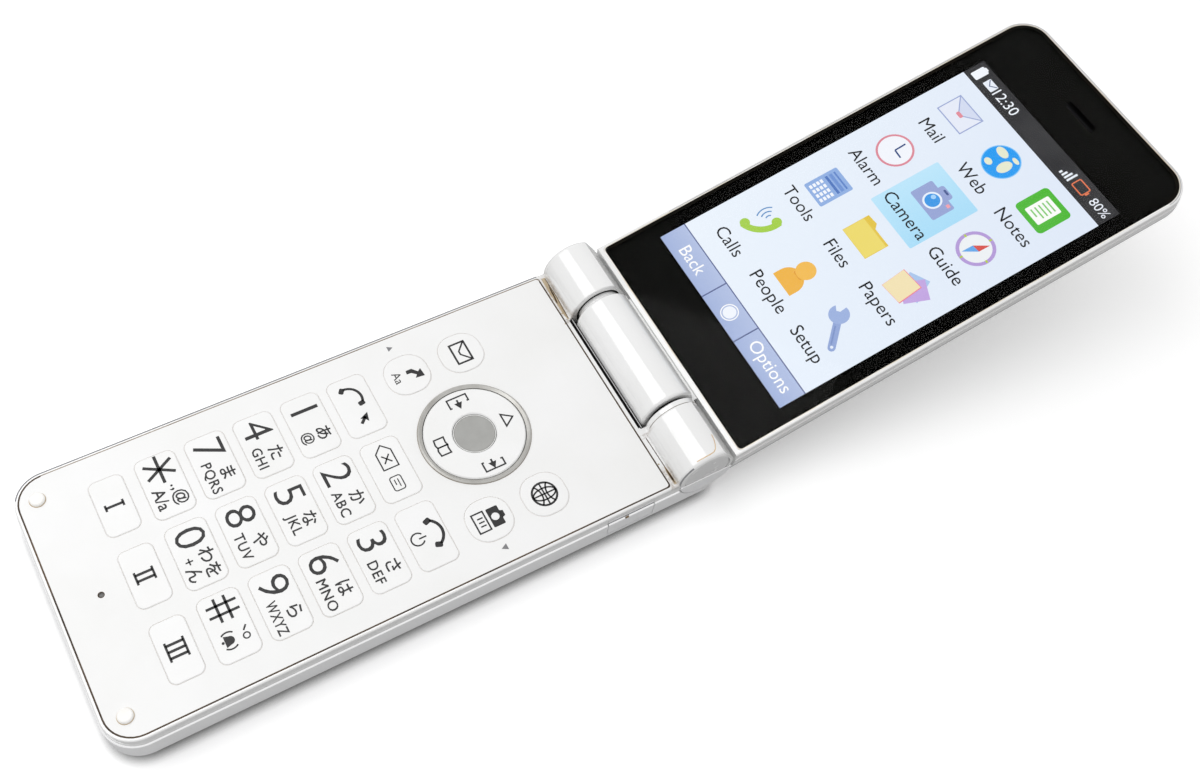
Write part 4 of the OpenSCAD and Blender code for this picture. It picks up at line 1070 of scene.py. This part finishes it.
def coverSection(low, high, notch):
    foot, back = coverLook["foot"], high.x - coverLook["set"]
    edge = edgeLook["z"] - (high.x - edgeLook["x"]) * edgeLook["lean"]
    inner = edge + coverLook["set"] * edgeLook["lean"]
    made = arc(high.x - foot, low.z + foot, foot, 180, 360, coverLook["footSteps"])
    made += [(high.x, edge - notch), (back, inner - notch), (back, high.z)]
    return made + [(high.x - 2 * foot, high.z)]


# points along a side with their outward directions, each turned to look outward and up
def leaning(points, z, lean):
    return [((x, y, z), (nx * lean, ny * lean, 1.0)) for x, y, nx, ny in points]


def makeCover(bright):
    low, high = boxOf("port_cover")
    y0, y1 = coverLook["y0"], coverLook["y1"]
    n0, n1, notch = coverLook["notchY0"], coverLook["notchY1"], coverLook["notch"]
    rows = []
    for y, drop in ((y0, 0), (n0, 0), (n0, notch), (n1, notch), (n1, 0), (y1, 0)):
        rows.append([(x, y, z) for x, z in coverSection(low, high, drop)])
    plate = addPiece("port_cover_plate", loft(rows), "port_cover", finishes["case_silver"])
    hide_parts("port_cover")

    def layLine(name, row, width, finish):
        layRibbon("port_cover_" + name, row, width, finish, printLook["film"],
                  body="port_cover")
    back, inner = coverSection(low, high, 0)[-3]
    seam = [((back, y, inner + coverLook["seam"] / 2), (1, 0, 0)) for y in (y0, y1)]
    layLine("seam", seam, coverLook["seam"], makeFinish(coverSeamLook))
    # the lines along the cover's sloped edge are painted highlight, in the mirror finish of the shoulder
    runs = {"dirt": (n0, n1, notch, coverLook["dirt"], makeFinish(notchLook)),
            "line_1": (y0, n0, 0, edgeLook["width"], bright),
            "line_2": (n1, y1, 0, edgeLook["width"], bright)}
    for name, (start, end, drop, width, finish) in runs.items():
        run = [(edgeLook["x"], y, 1, 0) for y in (start, end)]
        layLine(name, leaning(run, edgeLook["z"] - drop, edgeLook["lean"]), width, finish)


def layEdges(finish):
    x, y, r = edgeLook["x"], edgeLook["y"], edgeLook["round"]
    course = [(x, edgeLook["portY0"], 1, 0)]
    for middle, start in ((x - r, 0), (r - x, -90)):
        for px, py in arc(0, 0, 1, start, start - 90, 12):
            course.append((middle + r * px, y + r + r * py, px, py))
    course.append((-x, edgeLook["hingeY"], -1, 0))
    behind = [(x, edgeLook["hingeY"], 1, 0), (x, edgeLook["portY1"], 1, 0)]
    for name, run in (("case_edge_line", course), ("case_edge_line_back", behind)):
        row = leaning(run, edgeLook["z"], edgeLook["lean"])
        layRibbon(name, row, edgeLook["width"], finish, 0.0)
    low = math.asin((cheekLook["top"] - hingeLook["axisZ"]) / cheekLook["round"])
    start, end = math.degrees(math.pi - low), math.degrees(low) + 360
    outline = arc(0, 0, cheekLook["round"], start, end, 40)
    half = cheekLook["round"] * math.cos(low) - cheekLook["lineInset"]
    for name, side in (("right", 1), ("left", -1)):
        axes = Matrix(((0, 0, side), (side, 0, 0), (0, 1, 0))).to_4x4()
        outside = side * (cheekLook["x"] + cheekLook["thick"])
        place = lift(hingeLook["axisZ"], outside, hingeLook["axisY"]) @ axes
        loop = [(p[0] * side, p[1]) for p in outline]
        layShapes("hinge_cheek_" + name, [shape(loop)], place, finishes["case_silver"],
                  cheekLook["thick"])
        # painted highlight along the top edge of each cheek
        run = [(side * cheekLook["lineX"], hingeLook["axisY"] + d, side, 0) for d in (-half, half)]
        row = leaning(run, cheekLook["top"], cheekLook["lineLean"])
        layRibbon("hinge_cheek_line_" + name, row, cheekLook["line"], finish, 0.0)


paintedEdgeHighlight = makeFinish(edgeLook)
layEdges(paintedEdgeHighlight)
makeCover(paintedEdgeHighlight)


# gauze in the microphone hole, a dark ring round its edge, and two small pointers printed on the panel
gauzeLook = {
    "name": "microphoneGauze", "colour": "#8E8E8C", "shade": "#70706E", "toneScale": 4000.0,
    "rough": (0.6, 0.8), "roughScale": 2000.0,
}
panelPrint = {
    "holeY": -46.1, "holeRound": 0.53, "gauzeDrop": 0.3, "gauzeDeep": 0.1, "rimIn": 0.1, "rimOut": 0.03,
    "left": (-22.4, 14.8), "right": (21.8, 15.2), "film": 0.018,
}
greyInkLook = {
    "name": "greyInk", "colour": "#77777A", "shade": "#808082", "toneScale": 1500.0,
    "rough": (0.4, 0.55), "roughScale": 2000.0,
}


def layPanelPrints():
    top = boxOf("keypad_panel")[1].z
    y, r = panelPrint["holeY"], panelPrint["holeRound"]
    layShapes("mic_gauze", disc(0, 0, r), lift(top - panelPrint["gauzeDrop"], 0, y), makeFinish(gauzeLook),
              panelPrint["gauzeDeep"])
    rim = ringShapes(circle(0, y, r - panelPrint["rimIn"]), circle(0, y, r + panelPrint["rimOut"]))
    layShapes("mic_dark_rim", rim, lift(top + printLook["film"]), seamDirt)
    marks = moved([shape([(-0.55, -0.45), (0.55, -0.45), (0, 0.55)])], *panelPrint["left"])
    marks += moved([shape([(-0.6, 0.5), (0, -0.6), (0.6, 0.5)])], *panelPrint["right"])
    place = lift(top + panelPrint["film"])
    layShapes("panel_pointers", marks, place, makeFinish(greyInkLook))


layPanelPrints()
print("seams, dirt and panel prints laid")


# display: printed border under the glass and the lit picture, in the lid's own frame
toLid = lidPlace.inverted()


def inLid(node):
    return [toLid @ v.co / mm for v in frame["nodes"][node].data.vertices]


glassPoints = inLid("display_glass")
glassLow, glassHigh = (Vector([pick(p[i] for p in glassPoints) for i in range(3)]) for pick in (min, max))
glassLength = glassHigh.y - glassLow.y
displayLook = {
    "pictureX": 21.165, "pictureY0": 10.6, "pictureY1": 85.85,  # from the glass's lower edge
    "earY": 93.1, "earWidth": 8.3, "earHeight": 1.6, "borderInset": 0.02,
    "borderGap": 0.012, "borderSheet": 0.055, "pictureGap": 0.085, "step": 0.012, "sheet": 0.008,
}
borderLook = {
    "name": "printedBorder", "colour": "#0A0A09", "shade": "#070706", "toneScale": 120.0,
    "rough": (0.5, 0.6), "roughScale": 400.0, "speckColour": "#5E5A52",
    "specks": {"Scale": 150.0, "Size": 0.010, "Share": 0.25}, "sockets": {"Specular IOR Level": 0.0},
}


def onGlass(z):
    return lidPlace @ lift(z, 0, glassLow.y)


def layBorder():
    inset = displayLook["borderInset"]
    x, y1 = glassHigh.x - inset, glassLength - inset
    px, py0, py1 = displayLook["pictureX"], displayLook["pictureY0"], displayLook["pictureY1"]
    w, h, y = displayLook["earWidth"] / 2, displayLook["earHeight"] / 2, displayLook["earY"]
    r0, r1 = seamSize["glassStartRound"], seamSize["glassRound"]
    start = arc(r0 - x, inset + r0, r0, 180, 270, 8) + arc(x - r0, inset + r0, r0, -90, 0, 8)
    shapes = [shape([*start, (x, py0), (-x, py0)])]
    for side in (-1, 1):
        shapes += box(side * x, py0, side * px, py1)
        slot = [(side * p[0], p[1]) for p in arc(w - h, y, h, -90, 90, 12)]
        corner = [(side * p[0], p[1]) for p in arc(x - r1, y1 - r1, r1, 90, 0, 12)]
        shapes += [shape([(0, py1), (0, y - h), *slot, (0, y + h), (0, y1), *corner, (side * x, py1)])]
    place = onGlass(glassLow.z - displayLook["borderGap"])
    layShapes("display_border", shapes, place, makeFinish(borderLook), displayLook["borderSheet"],
              "lid")
    ring = seamRing(glassHigh.x, 0, glassLength, r0, r1, seamSize["clear"])
    place = onGlass(glassHigh.z - seamSize["drop"])
    layShapes("glass_seam_dirt", ring, place, makeFinish(glassSeamLook), seamSize["deep"], "lid")


# painted shade: thin grey lines along the outer edges of both rims, and black film on the glass's left and far
# edges
def layRimLines():
    low, high = boxOf("keypad_panel")
    rim = seamSize["seam"] + rimShadeLook["rim"] - rimShadeLook["inset"]
    x, y, r = -high.x - rim, low.y - rim, seamSize["panelRound"] + rim
    line = stroke(arc(x + r, y + r, r, 245, 180, 12) + [(x, high.y)], rimShadeLook["width"])
    place = lift(hingeLook["caseTop"] + rimShadeLook["film"])
    layShapes("case_rim_shade", line, place, makeFinish(rimShadeLook), rimShadeLook["deep"])
    local = inLid("lid_frame")
    top = max(p.z for p in local if p.y > glassHigh.y) + rimShadeLook["film"]
    x, r0, r1 = glassHigh.x, seamSize["glassStartRound"], seamSize["glassRound"]
    loops = []
    for lap in (rimShadeLook["lidLap"], 0.0):
        loops.append(roundLoop(lap - x, lap, x - lap, glassLength - lap, r0 - lap, r1 - lap, 12))

    def isFilm(each):
        ys = [p[1] for p in each["loop"]]
        isBare = each["loop"][0][0] > 0 and min(ys) < glassLength / 2  # right side
        return max(ys) > glassLength - rimShadeLook["lidEnd"] and not isBare
    film = [s for s in ringShapes(*loops) if isFilm(s)]
    deep = rimShadeLook["lidDeep"]
    layShapes("glass_edge_shade", film, onGlass(top), makeFinish(glassEdgeShadeLook), deep, "lid")
    inset = rimShadeLook["lidInset"]
    x, y = max(p.x for p in local) - inset, max(p.y for p in local) - inset
    r = r1 + seamSize["seam"] + rimShadeLook["rim"] - inset
    course = [(-x, y - rimShadeLook["lidLine"])] + arc(r - x, y - r, r, 180, 90, 10)
    course += arc(x - r, y - r, r, 90, 0, 10)
    line = stroke(course, rimShadeLook["lidWidth"])
    layShapes("lid_rim_shade", line, lidPlace @ lift(top), makeFinish(lidRimShadeLook), deep, "lid")


layBorder()
layRimLines()


# lit picture: a plain menu of twelve signs, tinted by the mesh's own colours
pictureLook = {
    "name": "litPicture", "glow": 1.0, "base": (0.01, 0.01, 0.01, 1), "rough": 0.6, "haze": 0.02,
    "hazeScale": 120.0,
}
menuLook = {
    "columns": (-13.2, 0.0, 13.0), "rows": (74.5, 59.2, 43.8, 28.1), "labelDrop": 6.7, "label": 2.6,
    "barTop": 16.05, "statusLow": 81.0, "edge": 0.15, "chosen": (-6.6, 49.0, 6.5, 64.5), "chosenRound": 0.35,
}


def makePicture():
    material, tree, inputs, places = newMaterial(pictureLook["name"])
    tint = put(tree, "ShaderNodeVertexColor", layer_name="tint").outputs["Color"]
    haze = vary(tree, places["Object"], pictureLook["hazeScale"], 0.0, pictureLook["haze"])
    feed(tree, inputs, {"Base Color": pictureLook["base"], "Roughness": pictureLook["rough"],
                        "Specular IOR Level": 0.0,
                        "Emission Color": mixColours(tree, haze, tint, hexColour("#FFFFFF")),
                        "Emission Strength": pictureLook["glow"]})
    return material


def envelopeIcon():
    made = box(-3.75, -2.85, 3.75, 2.85, "#98A6D2", 1) + box(-3.5, -2.6, 3.5, 2.6, "#E6EBF8", 2)
    made += [shape([(-3.5, 2.6), (3.5, 2.6), (0, -0.4)], "#D3DBF1", 3)]
    made += stroke([(-3.5, 2.6), (0, -0.4), (3.5, 2.6)], 0.22, "#98A6D2", 4)
    return made + box(-0.8, -0.55, 0.8, 0.25, "#E28C9A", 4, 0.3)


def globeIcon():
    made = disc(0, 0, 3.8, "#1F9BF2", 1, 40)
    lands = [(-1.6, 1.5, 1.5, 0.9), (1.3, -0.2, 1.1, 1.7), (-1.5, -1.9, 0.9, 0.7), (1.4, 2.4, 0.9, 0.45)]
    made += [shape(oval(*land), "#E6E9CF", 2) for land in lands]
    return made + stroke(circle(0, 0, 3.75, 40), 0.2, "#7CC4F7", 3, True)


def noteIcon():
    made = box(-3.9, -3.8, 3.9, 3.8, "#4DB833", 1, 0.9) + box(-2.1, -2.7, 2.1, 2.7, "#FAFCF8", 2, 0.25)
    for i in range(5):
        made += stroke([(-1.4, 1.8 - i * 0.9), (1.4 - 0.9 * (i == 4), 1.8 - i * 0.9)], 0.3, "#79C766", 3)
    return made


def clockIcon():
    made = disc(0, 0, 3.75, "#DD8A99", 1, 40) + disc(0, 0, 3.3, "#F2F5FC", 2, 40)
    for end in ((-0.1, 2.5), (2.0, -0.1)):
        made += stroke([(0, 0), end], 0.34, "#2F4A82", 3)
    return made


def cameraIcon():
    made = box(-3.75, -3.1, 3.75, 1.9, "#97A5D5", 1, 0.4) + box(-1.7, 1.4, 1.7, 3.1, "#97A5D5", 1, 0.6)
    made += box(-0.7, 2.35, 0.7, 2.8, "#4B5C92", 2, 0.2) + disc(0, -0.6, 1.9, "#E9F2FC", 2)
    made += disc(0, -0.6, 1.5, "#3D98E6", 3) + disc(-0.5, 0.0, 0.5, "#A6D4FB", 4)
    return made + box(2.3, 0.75, 3.1, 1.45, "#F2A3AF", 2, 0.1)


def compassIcon():
    made = disc(0, 0, 3.75, "#B49AD8", 1, 40) + disc(0, 0, 3.05, "#EDF1F4", 2, 40)
    made += [shape([(-0.85, -0.1), (0.85, 0.1), (0.9, 2.6)], "#D8534B", 3)]
    made += [shape([(0.85, 0.1), (-0.85, -0.1), (-0.9, -2.6)], "#63A8EA", 3)]
    for turn in range(0, 360, 90):
        made += moved(box(-0.2, 3.0, 0.2, 3.6, "#B5CC45", 3), turn=turn)
    return made


def calculatorIcon():
    made = box(-3.0, -3.75, 3.0, 3.75, "#8FAFE2", 1, 0.35) + box(-2.3, 2.6, 2.3, 2.95, "#5C82C8", 2)
    made += box(-2.3, 1.5, 2.3, 2.2, "#6F93D4", 2) + box(-2.3, 0.6, 2.3, 1.15, "#4F76BE", 2)
    for row in range(4):
        for column in range(4):
            x, y = -1.8 + column * 1.2, -0.4 - row * 0.82
            made += box(x - 0.4, y - 0.28, x + 0.4, y + 0.28, "#F4F8FE", 2, 0.08)
    return made


def folderIcon():
    made = [shape([(-3.8, -3.1), (-3.8, 2.9), (-1.4, 3.1), (-0.5, 2.2), (3.8, 2.2), (3.8, -3.1)],
                  "#E3C445", 1)]
    return made + box(-3.7, -3.0, 3.7, 1.7, "#EDDA6C", 2, 0.2)


def papersIcon():
    made = moved(box(-2.1, -2.6, 2.1, 2.6, "#A9C6EC", 1), 0.6, 1.0, 28)
    made += moved(box(-2.2, -2.5, 2.2, 2.5, "#C3A6E2", 2), 1.4, 0.6, -22)
    made += moved(box(-2.5, -2.8, 2.5, 2.6, "#EE8296", 3), -0.75, -0.6, 6)
    return made + moved(box(-2.4, -2.7, 2.35, 2.5, "#F2E2B4", 4), -0.8, -0.65, 6)


def phoneIcon():
    made = stroke(arc(-3.4, 2.4, 5.2, -75, 12, 20), 1.35, "#A5D04A", 1)
    made += disc(1.25, 3.1, 1.0, "#A5D04A", 2) + disc(-1.95, -2.1, 1.0, "#A5D04A", 2)
    for r in (0.9, 1.8, 2.7):
        made += stroke(arc(0.1, 2.4, r, 140, 220, 10), 0.26, "#5C90C6", 1)
    return made


def personIcon():
    torso = arc(0, -1.9, 2.85, 0, 180, 20) + [(-2.85, -3.6), (2.85, -3.6)]
    made = [shape(torso, "#EFB54A", 1)] + box(-1.1, -0.2, 1.1, 1.6, "#DF962F", 2, 0.4)
    return made + disc(0, 1.9, 2.0, "#F2BC54", 3)


def wrenchIcon():
    made = stroke([(-1.2, 1.2), (3.0, -3.0)], 1.5, "#93A8D8", 1, rounded=True)
    jaw = arc(-2.0, 2.0, 2.0, 165, 465, 26) + [(-2.35, 2.5), (-2.9, 2.0)]
    made += [shape(jaw, "#9DB2DF", 2)] + stroke([(-0.4, 0.1), (2.4, -2.7)], 0.3, "#7F94C8", 2)
    return made + disc(2.9, -2.9, 0.3, "#E8F0FB", 3)


menu = [
    ("Mail", envelopeIcon), ("Web", globeIcon), ("Notes", noteIcon),
    ("Alarm", clockIcon), ("Camera", cameraIcon), ("Guide", compassIcon),
    ("Tools", calculatorIcon), ("Files", folderIcon), ("Papers", papersIcon),
    ("Calls", phoneIcon), ("People", personIcon), ("Setup", wrenchIcon),
]


def statusBar(x, y0, y1):
    y = (y0 + y1) / 2
    made = box(-x, y0, x, y1, "#2B2B2E", 1)
    made += box(-20.1, y - 1.6, -18.1, y + 1.5, "#F2F6FC", 2, 0.25)
    made += box(-19.6, y + 1.4, -18.6, y + 1.8, "#F2F6FC", 2)
    made += box(-16.9, y - 1.0, -14.2, y + 0.9, "#E8EEF8", 2, 0.2)
    made += stroke([(-16.7, y + 0.7), (-15.55, y - 0.3), (-14.4, y + 0.7)], 0.2, "#5B6A8C", 3)
    made += letters("12:30", 2.2, -10.6, y, "#EEF3FA", 2)
    for i in range(4):
        made += box(7.6 + i * 0.75, y - 1.3, 8.05 + i * 0.75, y - 0.6 + i * 0.6, "#E9EEF6", 2)
    made += stroke(roundLoop(11.2, y - 1.05, 14.2, y + 1.05, 0.3), 0.26, "#E0764E", 2, True)
    made += box(14.35, y - 0.45, 14.7, y + 0.45, "#E0764E", 2)
    return made + letters("80%", 1.9, 18.2, y, "#E9EEF6", 2)


def softKeys(x, y0, y1):
    y = (y0 + y1) / 2
    made = box(-x, y0, x, y1, ["#A3B4DC", "#A3B4DC", "#B4C2E4", "#B4C2E4"], 1)
    made += stroke([(-x, y1), (x, y1)], 0.22, "#55608F", 2)
    for divider in (-5.8, 5.4):
        made += stroke([(divider, y0), (divider, y1)], 0.26, "#55608F", 2)
    made += stroke(circle(-0.2, y, 1.65), 0.22, "#FFFFFF", 2, True) + disc(-0.2, y, 1.3, "#F2F6FE", 2)
    for word, middle in (("Back", -13.4), ("Options", 13.2)):
        made += letters(word, 2.5, middle, y, "#FFFFFF", 2)
    return made


def layPicture():
    edge = menuLook["edge"]
    x = displayLook["pictureX"] + edge
    y0, y1 = displayLook["pictureY0"] - edge, displayLook["pictureY1"] + edge
    shapes = box(-x, y0, x, y1, ["#ECF4FD", "#E8F1FC", "#DEE8F7", "#E3ECF9"], 0)
    shapes += box(*menuLook["chosen"], ["#A9DDF8"] * 14 + ["#BCE6FB"] * 14, 1, menuLook["chosenRound"])
    shapes += statusBar(x, menuLook["statusLow"], y1) + softKeys(x, y0, menuLook["barTop"])
    for i, (word, icon) in enumerate(menu):
        column, row = menuLook["columns"][i % 3], menuLook["rows"][i // 3]
        shapes += [{**s, "level": s["level"] + 1} for s in moved(icon(), column, row)]
        shapes += letters(word, menuLook["label"], column, row - menuLook["labelDrop"], "#05070C", 2)
    place = onGlass(glassLow.z - displayLook["pictureGap"])
    layShapes("display_picture", shapes, place, makePicture(), displayLook["sheet"], "lid",
              displayLook["step"])


layPicture()
print("display laid")


# pale floor that keeps the cast shadow, with a painted contact shadow near the object, and soft studio light
floorLook = {
    "name": "floorPaper", "half": 1.5, "drop": 0.02, "glow": 0.17, "bounce": 0.5,
    "reach": 2.6, "paintedContactShadow": (0.25, 0.85, 0.1, 1.0),  # contact shadow
}
lightLook = {
    "toward": (-0.15, 0.42, 0.89), "span": (-0.4, 0.8), "level": (0.46, 0.80),  # ambient, dark to bright
    "seen": (0.92, 0.92, 0.925, 1),
    "box": {"edge": (-0.227, 0.068, 0.5), "turn": 33.0, "length": 0.5, "width": 0.6, "shift": -0.15,
            "power": 1.6},
}


def seenBy(tree, *rays):
    path = put(tree, "ShaderNodeLightPath").outputs
    seen = path["Is Camera Ray"]
    for kind in rays:
        seen = calc(tree, "MAXIMUM", seen, path[kind])
    return seen


def makeFloor():
    half = floorLook["half"]
    data = bpy.data.meshes.new("floor")
    corners = [(-half, -half, 0), (half, -half, 0), (half, half, 0), (-half, half, 0)]
    data.from_pydata(corners, [], [(0, 1, 2, 3)])
    floor = bpy.data.objects.new("floor", data)
    floor.location.z = -floorLook["drop"] * mm
    scene.collection.objects.link(floor)
    material = bpy.data.materials.new(floorLook["name"])
    material.use_nodes = True
    tree = material.node_tree
    tree.nodes.remove(tree.nodes["Principled BSDF"])
    bounce = floorLook["bounce"]
    plain = put(tree, "ShaderNodeBsdfDiffuse", {"Color": (bounce, bounce, bounce, 1)})
    # painted shadow: ambient occlusion darkens the paper's colour and its glow near the object
    cover = put(tree, "ShaderNodeAmbientOcclusion", {"Distance": floorLook["reach"] * mm}, samples=8)
    contactShadow = remap(tree, cover.outputs["AO"], *floorLook["paintedContactShadow"])
    paper = put(tree, "ShaderNodeBsdfDiffuse", {"Color": contactShadow})
    glow = put(tree, "ShaderNodeEmission", {"Color": contactShadow, "Strength": floorLook["glow"]})
    lit = put(tree, "ShaderNodeAddShader", {0: paper.outputs[0], 1: glow.outputs[0]})
    seen = seenBy(tree, "Is Transmission Ray")
    both = put(tree, "ShaderNodeMixShader", {0: seen, 1: plain.outputs[0], 2: lit.outputs[0]})
    feed(tree, tree.nodes["Material Output"].inputs, {"Surface": both.outputs[0]})
    data.materials.append(material)


def makeWorld():
    world = bpy.data.worlds.new("studio")
    scene.world = world
    world.use_nodes = True
    tree = world.node_tree
    tree.nodes.remove(tree.nodes["Background"])
    way = put(tree, "ShaderNodeTexCoord").outputs["Generated"]
    aim = put(tree, "ShaderNodeVectorMath", {0: way, 1: lightLook["toward"]}, operation="DOT_PRODUCT")
    level = remap(tree, aim.outputs["Value"], *lightLook["span"], *lightLook["level"])
    ambient = put(tree, "ShaderNodeBackground", {"Color": (1, 1, 1, 1), "Strength": level})
    shown = put(tree, "ShaderNodeBackground", {"Color": lightLook["seen"], "Strength": 1.0})
    seen = seenBy(tree, "Is Glossy Ray", "Is Transmission Ray")
    both = put(tree, "ShaderNodeMixShader", {0: seen, 1: ambient.outputs[0], 2: shown.outputs[0]})
    feed(tree, tree.nodes["World Output"].inputs, {"Surface": both.outputs[0]})


# softbox above the keypad half; its far edge draws the sharp highlight along the hinge
def makeKeyLight():
    look = lightLook["box"]
    data = bpy.data.lights.new("softbox", "AREA")
    data.shape = "RECTANGLE"
    data.size = look["length"]
    data.size_y = look["width"]
    data.energy = look["power"]
    softbox = bpy.data.objects.new("softbox", data)
    turn = Matrix.Rotation(math.radians(look["turn"]), 4, "Z")
    middle = Matrix.Translation((look["shift"], -look["width"] / 2, 0))
    softbox.matrix_world = Matrix.Translation(look["edge"]) @ turn @ middle
    scene.collection.objects.link(softbox)


makeFloor()
makeWorld()
makeKeyLight()
print("stage and light set")
